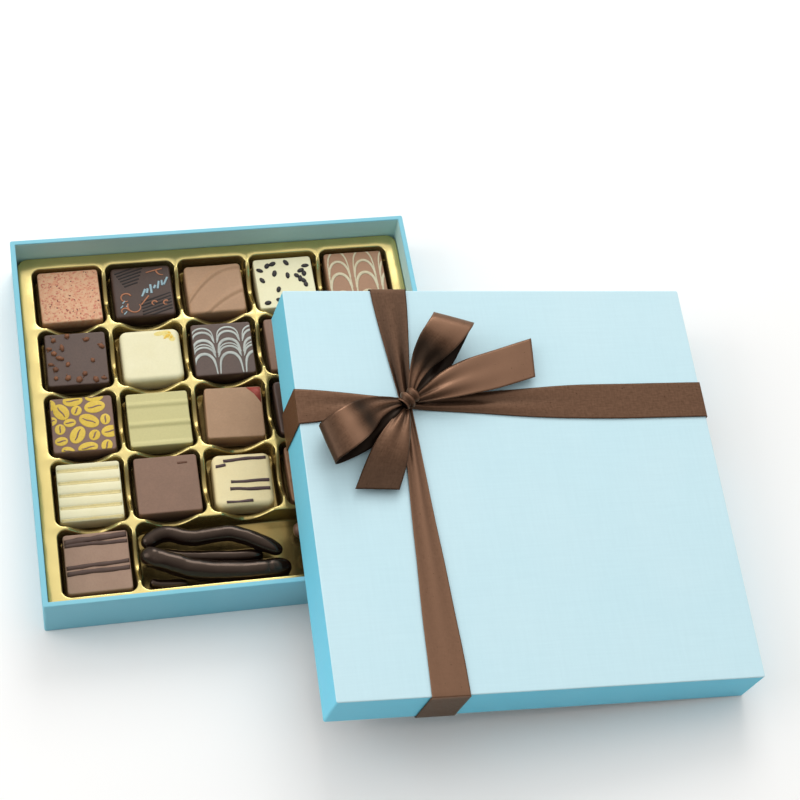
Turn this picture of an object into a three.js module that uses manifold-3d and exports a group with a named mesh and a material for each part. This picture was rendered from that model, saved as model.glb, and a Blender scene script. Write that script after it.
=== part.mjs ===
// A square presentation box of chocolates: the open base with its gold tray, twenty-one pralines and
// a cell of chocolate-coated peel sticks, and the ribboned lid leaning on two walls of the base.
// Millimetres, +Z up. The origin is the middle of the base's underside, and +X and +Y run along its sides.

import * as THREE from 'three';
import { mergeVertices } from 'three/addons/utils/BufferGeometryUtils.js';
import Module from 'manifold-3d';

const wasm = await Module();
wasm.setup();

// Driving sizes
const BOARD = 2;
const GAP = 0.3;
const PITCH = 30;
const CELLS = 5;
const BASE_SIDE = 164;
const BASE_HEIGHT = 22;
const LID_SIDE = 169;
const LID_HEIGHT = 22.5;
const BOARD_CORNER = 0.8;
const RIM_ABOVE_TRAY = 10.5;
const TRAY_SKIN = 0.6;
const RIBBON_WIDTH = 15.5;
const RIBBON_THICK = 0.5;

// Heights that follow from them
const TRAY_TOP = BASE_HEIGHT - RIM_ABOVE_TRAY;
const TRAY_UNDER = BOARD + GAP;
const TRAY_FLOOR = TRAY_UNDER + TRAY_SKIN;
const FOOD_UNDER = TRAY_FLOOR + GAP;
const PRALINE_TOP = TRAY_TOP - 0.5;
const PRALINE_HEIGHT = PRALINE_TOP - FOOD_UNDER;

// Tray pockets
const TRAY_SIDE = BASE_SIDE - 2 * (BOARD + GAP);
const TRAY_CORNER = 4;
const POCKET_OPENING = 28.5;
const POCKET_FLOOR = 27.4;
const POCKET_CORNER = 3.4;
const NOTCH_HALF = 10.5;
const NOTCH_DEPTH = 6;
const NOTCH_LENGTH = 4;

// Where the lid lies: the middle of its lower edge plane, and its turn about the vertical
const LID_X = 100.5;
const LID_Y = -54.5;
const LID_TURN = -1.15;
const REST_GAP = 0.5;
const GROUND_GAP = 0.1;

// The knot's place on the lid's top
const KNOT_X = -41.5;
const KNOT_Y = 33.5;
const KNOT_RADIUS = [4.6, 4.2, 2.9];
const KNOT_Z = LID_HEIGHT + 4.9;

const COLOUR = {
  paper: 0xa9d3e0,
  gold: 0xd9c46a,
  ribbon: 0x6b4a38,
  dark: 0x4a3830,
  milk: 0x8c6450,
  paleMilk: 0xa9836c,
  ivory: 0xe8dfb5,
  rose: 0xd39a80,
  pistachio: 0xbdb57c,
  mauve: 0x7b5c52,
};

function material(colour, roughness, metalness = 0) {
  return new THREE.MeshStandardMaterial({ color: colour, roughness, metalness });
}

const PAPER = material(COLOUR.paper, 0.8);
const GOLD = material(COLOUR.gold, 0.2, 1);
const SATIN = material(COLOUR.ribbon, 0.4);

function addMesh(parent, name, geometry, surface) {
  const mesh = new THREE.Mesh(geometry, surface);
  mesh.name = name;
  parent.add(mesh);
  return mesh;
}

// Booleans on closed geometries
function toSolid(geometry) {
  const bare = geometry.clone();
  bare.deleteAttribute('normal');
  bare.deleteAttribute('uv');
  const merged = mergeVertices(bare, 1e-4);
  const vertProperties = new Float32Array(merged.attributes.position.array);
  const triVerts = new Uint32Array(merged.index.array);
  return new wasm.Manifold(new wasm.Mesh({ numProp: 3, vertProperties, triVerts }));
}

function toGeometry(solid) {
  const mesh = solid.getMesh();
  const geometry = new THREE.BufferGeometry();
  geometry.setAttribute('position', new THREE.BufferAttribute(new Float32Array(mesh.vertProperties), 3));
  geometry.setIndex(new THREE.BufferAttribute(new Uint32Array(mesh.triVerts), 1));
  geometry.computeVertexNormals();
  return geometry;
}

function cutAll(body, cutters) {
  return toGeometry(cutters.reduce((solid, cutter) => solid.subtract(toSolid(cutter)), toSolid(body)));
}

function joinAll(body, extras) {
  return toGeometry(extras.reduce((solid, extra) => solid.add(toSolid(extra)), toSolid(body)));
}

// Outlines and prisms
function roundedRectangle(width, depth, radius) {
  const x = width / 2;
  const y = depth / 2;
  const shape = new THREE.Shape();
  shape.moveTo(-x + radius, -y);
  shape.lineTo(x - radius, -y);
  shape.absarc(x - radius, -y + radius, radius, -Math.PI / 2, 0, false);
  shape.lineTo(x, y - radius);
  shape.absarc(x - radius, y - radius, radius, 0, Math.PI / 2, false);
  shape.lineTo(-x + radius, y);
  shape.absarc(-x + radius, y - radius, radius, Math.PI / 2, Math.PI, false);
  shape.lineTo(-x, -y + radius);
  shape.absarc(-x + radius, -y + radius, radius, Math.PI, Math.PI * 1.5, false);
  return shape;
}

function prism(shape, low, high, curveSegments = 3) {
  const options = { depth: high - low, bevelEnabled: false, curveSegments };
  return new THREE.ExtrudeGeometry(shape, options).translate(0, 0, low);
}

// Moves each vertex through a function that changes its Vector3
function reshape(geometry, change) {
  const position = geometry.attributes.position;
  const point = new THREE.Vector3();
  for (let i = 0; i < position.count; i += 1) {
    point.fromBufferAttribute(position, i);
    change(point);
    position.setXYZ(i, point.x, point.y, point.z);
  }
  return geometry;
}

function cellCentre(row, column) {
  const middle = (CELLS + 1) / 2;
  return [(column - middle) * PITCH, (middle - row) * PITCH];
}

// Box boards
function openTray(side, height, floor) {
  const outer = prism(roundedRectangle(side, side, BOARD_CORNER), 0, height, 2);
  const inside = side - 2 * BOARD;
  const hollow = new THREE.BoxGeometry(inside, inside, height).translate(0, 0, height / 2 + floor);
  return cutAll(outer, [hollow]);
}

function lidShell() {
  const outer = prism(roundedRectangle(LID_SIDE, LID_SIDE, BOARD_CORNER), 0, LID_HEIGHT, 2);
  const inside = LID_SIDE - 2 * BOARD;
  const hollow = new THREE.BoxGeometry(inside, inside, LID_HEIGHT).translate(0, 0, LID_HEIGHT / 2 - BOARD);
  return cutAll(outer, [hollow]);
}

// The tray's pockets taper to their floors, and the webs between them dip to a finger notch
function pocket(width, depth) {
  const cutter = prism(roundedRectangle(width, depth, POCKET_CORNER), TRAY_FLOOR, TRAY_TOP + 1, 4);
  const draft = (POCKET_OPENING - POCKET_FLOOR) / 2 / (TRAY_TOP - TRAY_FLOOR);
  return reshape(cutter, (point) => {
    const inset = draft * (TRAY_TOP - point.z);
    point.x *= 1 - (2 * inset) / width;
    point.y *= 1 - (2 * inset) / depth;
  });
}

function notch(x, y, alongX) {
  const radius = (NOTCH_HALF ** 2 + NOTCH_DEPTH ** 2) / (2 * NOTCH_DEPTH);
  const roller = new THREE.CylinderGeometry(radius, radius, NOTCH_LENGTH, 30);
  if (!alongX) {
    roller.rotateZ(Math.PI / 2);
  }
  return roller.translate(x, y, TRAY_TOP + radius - NOTCH_DEPTH);
}

function trayGeometry() {
  const slab = prism(roundedRectangle(TRAY_SIDE, TRAY_SIDE, TRAY_CORNER), TRAY_UNDER, TRAY_TOP);
  const cutters = [];
  for (let row = 1; row <= CELLS; row += 1) {
    const singles = row < CELLS ? CELLS : 1;
    for (let column = 1; column <= singles; column += 1) {
      const [x, y] = cellCentre(row, column);
      cutters.push(pocket(POCKET_OPENING, POCKET_OPENING).translate(x, y, 0));
      if (column < CELLS) {
        cutters.push(notch(x + PITCH / 2, y, false));
      }
    }
    for (let column = 1; row < CELLS && column <= CELLS; column += 1) {
      const [x, y] = cellCentre(row, column);
      cutters.push(notch(x, y - PITCH / 2, true));
    }
  }
  const [longX, longY] = cellCentre(CELLS, (2 + CELLS) / 2);
  cutters.push(pocket(POCKET_OPENING + 3 * PITCH, POCKET_OPENING).translate(longX, longY, 0));
  return cutAll(slab, cutters);
}

// Praline shapes, all standing on z = 0
function slab(width, depth, edge, segments) {
  const shape = roundedRectangle(width - 2 * edge, depth - 2 * edge, 0.9 + edge / 2);
  const geometry = new THREE.ExtrudeGeometry(shape, {
    depth: PRALINE_HEIGHT - 2 * edge,
    bevelThickness: edge,
    bevelSize: edge,
    bevelSegments: segments,
    curveSegments: 2,
  }).translate(0, 0, edge);
  return reshape(geometry, (point) => {
    const spread = 1 + 0.025 * (1 - point.z / PRALINE_HEIGHT);
    point.x *= spread;
    point.y *= spread;
  });
}

// A bar whose top follows a height function from front to back
function profiled(width, depth, stations, heightAt) {
  const side = new THREE.Shape();
  side.moveTo(depth / 2, 0);
  for (const along of stations) {
    side.lineTo(along * depth, heightAt(along));
  }
  side.lineTo(-depth / 2, 0);
  const geometry = new THREE.ExtrudeGeometry(side, { depth: width, bevelEnabled: false });
  return geometry.translate(0, 0, -width / 2).rotateX(Math.PI / 2).rotateZ(Math.PI / 2);
}

function evenStations(count) {
  return Array.from({ length: count + 1 }, (_, i) => 0.5 - i / count);
}

function ridged(width, depth) {
  const ridges = 4.6;
  const relief = 0.45;
  const heightAt = (along) => PRALINE_HEIGHT - relief + relief * Math.cos((along - 0.06) * ridges * 2 * Math.PI);
  return profiled(width, depth, evenStations(36), heightAt);
}

function stepped(width, depth) {
  const ledges = [0.5, 0.34, 0.33, 0.24, 0.23, -0.03, -0.04, -0.13, -0.14, -0.4, -0.41, -0.5];
  const level = [0, 0, 0.5, 0.5, 0, 0, 0.6, 0.6, 0, 0, 0.4, 0.4];
  const heightAt = (along) => PRALINE_HEIGHT - 0.6 + level[ledges.indexOf(along)];
  return profiled(width, depth, ledges, heightAt);
}

// Toppings: a small closed body laid on the top at (x, y), turned about the vertical
function grain(size, x, y, turn, rings) {
  const geometry = rings > 0 ? new THREE.SphereGeometry(0.5, 6, rings) : new THREE.IcosahedronGeometry(0.5, 0);
  geometry.scale(...size).rotateZ(turn);
  return geometry.translate(x, y, PRALINE_HEIGHT);
}

function bar(x, y, length, width, tilt) {
  const geometry = new THREE.BoxGeometry(length, width, 1).rotateZ(tilt);
  return geometry.translate(x, y, PRALINE_HEIGHT - 0.1);
}

// A small repeatable random generator for the scattered toppings
function randomFrom(seed) {
  let state = seed;
  return () => {
    state = (state * 16807) % 2147483647;
    return state / 2147483647;
  };
}

// Sesame seeds: a loose scatter and a cluster near the right edge
function sesame(width, depth, seed) {
  const random = randomFrom(seed);
  const seeds = [];
  const places = [[-10, 6.6], [-6.6, 8.6], [-4.2, 9.4], [1.6, 9.6], [-4, 4.6], [-9.6, 1.6], [1.4, 3.2],
    [-3.4, -3.4], [9.4, 7.4], [7.2, 5.2], [8.4, 3.6], [5.2, 2.8], [6.4, 1.2], [7.6, 0.2], [8.4, -1.8],
    [-3.8, -8.6], [1.6, -9.2], [5.6, -7.6], [9.2, -9.4], [-8.8, -9.6]];
  for (const [x, y] of places) {
    seeds.push(grain([1.9, 1.05, 0.9], x, y, random() * Math.PI, 4));
  }
  return joinAll(slab(width, depth, 0.5, 1), seeds);
}

// Cocoa nibs, thickest along the left and front edges
function nibs(width, depth, seed) {
  const random = randomFrom(seed);
  const places = [[-8.6, 9.2], [4.6, 8.8], [-3, 10.8], [-10.6, 5.2], [-8.8, 3], [-5.4, 5.4], [-6.6, 0.6],
    [-10.4, -2], [-8.6, -4.4], [-3.6, -2.4], [-8.8, -8.6], [-4, -8.8], [0.4, -9.8], [2.8, -7.2],
    [7, -10.2], [10.2, -9.8], [10.4, 5.2], [6.4, -1.2]];
  const pieces = places.map(([x, y]) => {
    const size = [1.3 + 1.1 * random(), 1.1 + 0.7 * random(), 1 + 0.8 * random()];
    return grain(size, x, y, random() * Math.PI, 0);
  });
  return joinAll(slab(width, depth, 0.5, 1), pieces);
}

// Two pairs of piped stripes, or loose drizzled lines
function striped(width, depth) {
  const lines = [[0, 10.6, 0.12], [0, 8, 0.04], [0, -1.2, 0.09], [0, -4, 0.07]];
  return joinAll(slab(width, depth, 0.5, 1), lines.map(([x, y, tilt]) => bar(x, y, width - 1.4, 1.1, tilt)));
}

function drizzled(width, depth) {
  const lines = [[1, 8, 14], [-8, 5.6, 4], [3.4, 0, 12], [3, -2.8, 12.4]];
  return joinAll(slab(width, depth, 1.8, 3), lines.map(([x, y, length]) => bar(x, y, length, 0.8, 0.03)));
}

const SHAPES = {
  cut: (w, d) => slab(w, d, 0.5, 1),
  soft: (w, d) => slab(w, d, 0.9, 2),
  round: (w, d) => slab(w, d, 1.8, 3),
  ridged,
  stepped,
  sesame: (w, d) => sesame(w, d, 41),
  nibs: (w, d) => nibs(w, d, 17),
  striped,
  drizzled,
};

// Each praline: flavour, shape, colour, its width and depth, how far it sits off its pocket's middle, its turn
const PRALINES = [
  [
    ['rose_speckled', 'cut', 'rose', 24.6, 24.6, 0.3, 0.4, 0.7],
    ['dark_printed', 'soft', 'dark', 24.6, 24.6, 0.2, 0.2, 0.4],
    ['milk_creased', 'soft', 'milk', 23.6, 23.4, 0, -0.8, 0.3],
    ['ivory_sesame', 'sesame', 'ivory', 24.4, 24.4, -0.3, -0.3, 0.6],
    ['milk_feathered', 'cut', 'paleMilk', 24.6, 24.6, 0, 0, 0],
  ],
  [
    ['dark_nibs', 'nibs', 'dark', 24.4, 24.4, 0.3, 0.3, -0.6],
    ['ivory_rounded', 'round', 'ivory', 24.2, 24, 0.5, -0.3, 0.2],
    ['dark_feathered', 'cut', 'dark', 24.6, 24.6, -0.3, -0.3, -0.6],
    ['milk_plain', 'cut', 'milk', 24.6, 24.6, 0.2, 0, 0.5],
    ['ivory_ridged_back', 'ridged', 'ivory', 24.4, 24.4, 0, 0.2, -0.4],
  ],
  [
    ['mauve_beans', 'cut', 'mauve', 24.6, 24.6, 0, 0.1, -0.4],
    ['pistachio_stepped', 'stepped', 'pistachio', 24.6, 24.4, 0.2, -0.1, -0.3],
    ['milk_red_corner', 'cut', 'milk', 23.2, 23.2, 0.5, -0.3, -2.4],
    ['dark_plain', 'soft', 'dark', 24.4, 24.4, -0.2, 0.2, 0.6],
    ['rose_plain', 'cut', 'rose', 24.6, 24.6, 0.1, 0, -0.3],
  ],
  [
    ['ivory_ridged', 'ridged', 'ivory', 24.6, 24.8, 0, 0.2, -0.4],
    ['milk_dashed', 'cut', 'milk', 24.8, 24.8, 0.3, 0.1, -0.2],
    ['ivory_drizzled', 'drizzled', 'ivory', 23.4, 23.4, -0.1, -0.7, -1.6],
    ['milk_stepped', 'stepped', 'paleMilk', 24.4, 24.4, 0.2, 0, 0.4],
    ['dark_striped', 'striped', 'dark', 24.6, 24.6, 0, -0.2, 0.2],
  ],
  [
    ['milk_striped', 'striped', 'paleMilk', 24.6, 24.8, 0.1, -0.4, 0.1],
  ],
];

function addPralines(parent) {
  PRALINES.forEach((line, r) => line.forEach(([flavour, shape, colour, width, depth, dx, dy, turn], c) => {
    const [x, y] = cellCentre(r + 1, c + 1);
    const name = `praline_${r + 1}${c + 1}_${flavour}`;
    const mesh = addMesh(parent, name, SHAPES[shape](width, depth), material(COLOUR[colour], 0.45));
    mesh.position.set(x + dx, y + dy, FOOD_UNDER);
    mesh.rotation.z = THREE.MathUtils.degToRad(turn);
  }));
}

// Peel sticks: each a round stick bent along points chosen by hand, with narrowed ends
const PEELS = [
  ['peel_dark_back', 'dark', 5.4, [[-41.5, -55.4, 8.6], [-38, -52, 9], [-32, -50.8, 9.4], [-24.4, -53.4, 9.6],
    [-17, -53.4, 9.6], [-9, -53, 9.6], [-3, -55, 9.6], [3, -58.2, 9.6], [11, -63.2, 9.6]]],
  ['peel_dark_front', 'dark', 7.8, [[-42.6, -58.6, 10.6], [-38, -61.6, 11.2], [-32, -64.2, 11.2],
    [-24, -67.2, 10.4], [-14, -68.6, 8.8], [-3, -69.2, 8], [6, -69.2, 7.6], [14, -68.4, 7.4]]],
  ['peel_dark_middle', 'dark', 4.2, [[-36, -57.2, 5.6], [-28, -59.4, 5.5], [-18, -60.6, 5.5], [-8, -61.4, 5.5],
    [4, -62, 5.4]]],
  ['peel_dark_short', 'dark', 4, [[-41, -69, 5.4], [-36, -70.6, 5.4], [-26, -71, 5.4]]],
  ['peel_milk_back', 'milk', 6.6, [[17, -54, 7], [27, -52.4, 6.8], [40, -53.4, 6.8], [55, -52.6, 6.8],
    [70, -54.4, 6.8]]],
  ['peel_milk_front', 'milk', 6.8, [[22, -67.4, 6.9], [34, -68.8, 6.9], [46, -68, 6.9], [58, -69, 6.9],
    [71, -67.6, 6.9]]],
  ['peel_milk_top', 'milk', 6.2, [[19, -61.6, 11.4], [30, -60.2, 12.4], [42, -61.2, 12.4], [54, -60.4, 12.2],
    [68, -61.8, 11.8]]],
];

function peelGeometry(thickness, route) {
  const path = new THREE.CatmullRomCurve3(route.map((point) => new THREE.Vector3(...point)));
  const section = new THREE.Shape();
  section.absarc(0, 0, thickness / 2, 0, Math.PI * 2, false);
  const stick = new THREE.ExtrudeGeometry(section, { steps: 18, curveSegments: 5, extrudePath: path });
  const ends = [path.getPoint(0), path.getPoint(1)];
  return reshape(stick, (point) => {
    for (const end of ends) {
      const away = point.distanceTo(end);
      if (away < thickness * 0.52) {
        point.lerp(end, 0.35);
      }
    }
  });
}

function addPeels(parent) {
  for (const [name, colour, thickness, route] of PEELS) {
    addMesh(parent, name, peelGeometry(thickness, route), material(COLOUR[colour], 0.25));
  }
}

// A ribbon strip follows two curves of points (along, height), its outer and inner faces, the outer one
// on the left of the way it runs. At each station it reaches half its width to either side.
function stripGeometry(outer, inner, halfAt) {
  const corners = [];
  const index = [];
  outer.forEach(([along, height], station) => {
    const [innerAlong, innerHeight] = inner[station];
    const half = halfAt(along, height);
    corners.push(along, -half, height, along, half, height);
    corners.push(innerAlong, half, innerHeight, innerAlong, -half, innerHeight);
  });
  for (let station = 0; station < outer.length - 1; station += 1) {
    for (let side = 0; side < 4; side += 1) {
      const a = station * 4 + side;
      const d = station * 4 + ((side + 1) % 4);
      index.push(a, a + 4, d + 4, a, d + 4, d);
    }
  }
  const last = (outer.length - 1) * 4;
  index.push(0, 1, 2, 0, 2, 3, last, last + 2, last + 1, last, last + 3, last + 2);
  const geometry = new THREE.BufferGeometry();
  geometry.setAttribute('position', new THREE.Float32BufferAttribute(corners, 3));
  geometry.setIndex(index);
  geometry.computeVertexNormals();
  return geometry;
}

// Ribbon bands: a strip round the lid, tucked over its lower edge on both sides and gathered at the knot.
// The wrap is drawn at a distance from the lid's faces.
function wrapAt(distance, knot, hump) {
  const outside = LID_SIDE / 2 + distance;
  const inside = LID_SIDE / 2 - BOARD - distance;
  const tuck = 6;
  const top = LID_HEIGHT + distance;
  const nearKnot = [[-26, 0], [-8, 0], [-5, hump], [5, hump], [8, 0], [26, 0]];
  return [
    [-inside, tuck], [-inside, -distance], [-outside, -distance], [-outside, top],
    ...nearKnot.map(([along, rise]) => [knot + along, top + rise]),
    [outside, top], [outside, -distance], [inside, -distance], [inside, tuck],
  ];
}

function bandGeometry(knot, hump, [widenBefore, widenAfter]) {
  const gathered = 2;
  const halfAt = (along, height) => {
    const away = along - knot;
    const half = gathered + Math.abs(away) * (away < 0 ? widenBefore : widenAfter);
    return height > LID_HEIGHT ? Math.min(RIBBON_WIDTH / 2, half) : RIBBON_WIDTH / 2;
  };
  return stripGeometry(wrapAt(GAP + RIBBON_THICK, knot, hump), wrapAt(GAP, knot, hump), halfAt);
}

// Bow pieces start beside the knot and run along +X; across is their width direction
const BOW_START = 5.2;
const BOW_ROOT_HALF = 1.4;

function bowHalfWidth(along, length) {
  const share = Math.max(0, (along - BOW_START) / (length - BOW_START));
  return THREE.MathUtils.lerp(BOW_ROOT_HALF, RIBBON_WIDTH / 2 + 0.3, Math.min(1, share * 1.35));
}

// A loop seen from the side is a strip that runs from the knot over the top and back underneath
function loopGeometry(length, height) {
  const outer = new THREE.SplineCurve([
    [BOW_START, 3.6], [length * 0.35, height * 0.62], [length * 0.66, height * 0.97], [length * 0.88, height * 0.9],
    [length, height * 0.62], [length * 0.93, height * 0.34], [length * 0.66, height * 0.22],
    [length * 0.35, height * 0.16], [BOW_START, 2.4],
  ].map(([along, z]) => new THREE.Vector2(along, z))).getPoints(20);
  const inner = outer.map((point, i) => {
    const before = outer[Math.max(0, i - 1)];
    const after = outer[Math.min(outer.length - 1, i + 1)];
    const inward = new THREE.Vector2(after.y - before.y, before.x - after.x).normalize();
    return point.clone().addScaledVector(inward, RIBBON_THICK);
  });
  const plain = (points) => points.map(({ x, y }) => [x, y]);
  return stripGeometry(plain(outer), plain(inner), (along) => bowHalfWidth(along, length));
}

// A tail is an arched strip that ends in a straight cut, skewed by so much for each unit across
function tailGeometry(length, rise, lift, skew) {
  const upper = [];
  const steps = 8;
  for (let i = 0; i <= steps; i += 1) {
    const share = i / steps;
    const arch = rise * Math.sin(Math.PI * share ** 0.8);
    upper.push([THREE.MathUtils.lerp(BOW_START, length, share), 2.5 + arch + lift * share]);
  }
  const lower = upper.map(([along, height]) => [along, height - RIBBON_THICK]);
  const strip = stripGeometry(upper, lower, (along) => bowHalfWidth(along, length));
  return reshape(strip, (point) => {
    const share = Math.max(0, (point.x - length * 0.5) / (length * 0.5));
    point.x += point.y * skew * share;
  });
}

function addBow(parent) {
  const pieces = [
    ['bow_loop_right', loopGeometry(43, 15), 58],
    ['bow_loop_left', loopGeometry(40, 14), -151],
    ['bow_tail_right', tailGeometry(54, 3.4, 1.2, 0.12), 17],
    ['bow_tail_left', tailGeometry(41, 2.6, 0.8, 0.36), -115],
  ];
  for (const [name, geometry, direction] of pieces) {
    const mesh = addMesh(parent, name, geometry, SATIN);
    mesh.position.set(KNOT_X, KNOT_Y, LID_HEIGHT);
    mesh.rotation.z = THREE.MathUtils.degToRad(direction);
  }
  const knot = addMesh(parent, 'bow_knot', new THREE.SphereGeometry(1, 12, 8).scale(...KNOT_RADIUS), SATIN);
  knot.position.set(KNOT_X, KNOT_Y, KNOT_Z);
}

// The lean: the lid's lower edge plane passes just above the base's front and right walls where its own
// left and back walls cross them, and its front right corner stands on the ground.
function lidPlacement() {
  const turn = THREE.MathUtils.degToRad(LID_TURN);
  const across = new THREE.Vector3(Math.cos(turn), Math.sin(turn), 0);
  const half = LID_SIDE / 2;
  const wallMiddle = half - BOARD / 2;
  const baseWall = BASE_SIDE / 2 - BOARD / 2;
  const up = new THREE.Vector3(0, 0, 1);
  const centre = new THREE.Vector3(LID_X, LID_Y, 0);
  const right = new THREE.Vector3();
  const back = new THREE.Vector3();
  for (let round = 0; round < 6; round += 1) {
    right.copy(across).addScaledVector(up, -across.dot(up)).normalize();
    back.crossVectors(up, right);
    const onFront = centre.clone().addScaledVector(right, -wallMiddle);
    onFront.addScaledVector(back, (-baseWall - onFront.y) / back.y).setZ(BASE_HEIGHT + REST_GAP);
    const onRight = centre.clone().addScaledVector(back, wallMiddle);
    onRight.addScaledVector(right, (baseWall - onRight.x) / right.x).setZ(BASE_HEIGHT + REST_GAP);
    const onGround = centre.clone().addScaledVector(right, half).addScaledVector(back, -half).setZ(GROUND_GAP);
    up.crossVectors(onGround.clone().sub(onFront), onRight.clone().sub(onFront)).normalize();
    centre.z = onFront.z - ((LID_X - onFront.x) * up.x + (LID_Y - onFront.y) * up.y) / up.z;
  }
  return new THREE.Matrix4().makeBasis(right, back, up).setPosition(centre);
}

function addLid(parent) {
  const lid = new THREE.Group();
  lidPlacement().decompose(lid.position, lid.quaternion, lid.scale);
  parent.add(lid);
  addMesh(lid, 'lid', lidShell(), PAPER);
  const long = addMesh(lid, 'ribbon_long', bandGeometry(KNOT_Y, 0, [0.052, 0.12]), SATIN);
  long.rotation.z = Math.PI / 2;
  long.position.x = KNOT_X;
  const cross = addMesh(lid, 'ribbon_cross', bandGeometry(KNOT_X, RIBBON_THICK + GAP, [0.14, 0.16]), SATIN);
  cross.position.y = KNOT_Y;
  addBow(lid);
}

const group = new THREE.Group();
addMesh(group, 'base_box', openTray(BASE_SIDE, BASE_HEIGHT, BOARD), PAPER);
addMesh(group, 'tray', trayGeometry(), GOLD);
addPralines(group);
addPeels(group);
addLid(group);

export default group;
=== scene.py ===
# A square presentation box of chocolates: the open base with its gold tray, pralines and peel sticks, and the
# lid with its satin ribbon leaning on the base. Shapes are worked out in millimetres and made in metres.

import math
import random

import bmesh
import bpy
from mathutils import Matrix, Vector, noise


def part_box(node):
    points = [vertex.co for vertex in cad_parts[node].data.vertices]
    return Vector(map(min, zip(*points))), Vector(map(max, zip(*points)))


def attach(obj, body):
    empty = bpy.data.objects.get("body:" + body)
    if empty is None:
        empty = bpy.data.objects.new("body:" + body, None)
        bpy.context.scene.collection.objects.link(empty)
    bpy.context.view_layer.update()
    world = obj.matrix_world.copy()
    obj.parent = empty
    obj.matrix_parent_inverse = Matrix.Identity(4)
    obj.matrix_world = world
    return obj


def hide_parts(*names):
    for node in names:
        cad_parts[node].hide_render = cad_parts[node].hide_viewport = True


bl_info = {
    "name": "Box of Chocolates",
    "version": (1, 0, 0),
    "blender": (4, 5, 0),
    "location": "View3D > Sidebar > Chocolates",
    "description": "Dresses a box of pralines: paper, gold tray, chocolate, satin ribbon and studio",
    "category": "Object",
}

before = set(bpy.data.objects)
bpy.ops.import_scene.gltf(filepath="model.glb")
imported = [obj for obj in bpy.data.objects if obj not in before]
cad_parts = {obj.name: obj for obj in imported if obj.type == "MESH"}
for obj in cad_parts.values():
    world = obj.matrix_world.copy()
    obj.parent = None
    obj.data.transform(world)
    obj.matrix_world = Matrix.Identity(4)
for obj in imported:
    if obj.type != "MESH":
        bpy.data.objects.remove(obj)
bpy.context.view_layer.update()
MM = 0.001

# Sizes read off the frame, in millimetres
BASE_LOW, BASE_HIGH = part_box("base_box")
TRAY_LOW, TRAY_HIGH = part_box("tray")
FOOD_LOW, FOOD_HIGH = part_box("praline_15_milk_feathered")
BASE_SIDE = (BASE_HIGH.x - BASE_LOW.x) / MM
BASE_HEIGHT = BASE_HIGH.z / MM
TRAY_SIDE = (TRAY_HIGH.x - TRAY_LOW.x) / MM
TRAY_TOP = TRAY_HIGH.z / MM
TRAY_UNDER = TRAY_LOW.z / MM
FOOD_UNDER = FOOD_LOW.z / MM
PRALINE_HEIGHT = (FOOD_HIGH.z - FOOD_LOW.z) / MM

# The tray's cells
PITCH = 30.0
CELLS = 5
TRAY_FLOOR = TRAY_UNDER + 0.6
TRAY_CORNER = 4.0
POCKET_HALF = 14.25
POCKET_FLOOR_HALF = 13.7
POCKET_CORNER = 3.4
POCKET_FLOOR_CORNER = 2.7
NOTCH_HALF = 10.5
NOTCH_DEPTH = 6.0
RIM_ROUND = 0.6
FLOOR_ROUND = 1.0

# Where the lid leans
LID_X = 100.5
LID_Y = -54.5
LID_TURN = math.radians(-1.15)
REST_GAP = 0.5
GROUND_GAP = 0.1

# The knot's place on the lid's top, and the clear space under the ribbon
KNOT_X = -41.5
KNOT_Y = 33.5
RIBBON_LIFT = 0.45

# The camera: its place in metres and how it is turned
CAMERA_PLACE = Vector((-0.09074, -0.38805, 0.70811))
CAMERA_AZIMUTH = math.radians(22.35)
CAMERA_ELEVATION = math.radians(59.04)
CAMERA_ROLL = math.radians(-14.57)
CAMERA_LENS = 89.63
CAMERA_SENSOR = 36.0


def paint(red, green, blue):
    """A colour given in 0 to 255 display values, as linear light."""
    def linear(value):
        share = value / 255
        return share / 12.92 if share <= 0.04045 else ((share + 0.055) / 1.055) ** 2.4
    return (linear(red), linear(green), linear(blue), 1.0)


# Property groups

def length_property(name, description, default):
    """A length that the sidebar shows in scene units; the default is given in millimetres."""
    return bpy.props.FloatProperty(name=name, description=description, default=default * MM,
                                   unit="LENGTH", precision=5)


def colour_property(name, description, default):
    """A colour that the sidebar shows as a swatch."""
    return bpy.props.FloatVectorProperty(name=name, description=description, default=default,
                                         subtype="COLOR", size=4, min=0, max=1)


class BoxSizes(bpy.types.PropertyGroup):
    """Sizes of the base and the lid."""
    board: length_property("Board", "Thickness of the grey board", 2.0)
    lid_side: length_property("Lid side", "Outer side of the square lid", 169.0)
    lid_height: length_property("Lid height", "Outer height of the lid", 22.5)
    corner: length_property("Corner", "Radius of the upright corners", 0.8)
    edge: length_property("Edge", "Radius of the folded paper edges", 0.35)


class RibbonSizes(bpy.types.PropertyGroup):
    """Sizes of the ribbon and its bow."""
    width: length_property("Width", "Width of the satin ribbon", 15.5)
    thickness: length_property("Thickness", "Thickness of the satin", 0.26)
    gathered: length_property("Gathered", "Half width where the ribbon meets the knot", 2.0)
    pleat: length_property("Pleat", "Height of the folds beside the knot", 1.1)


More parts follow.
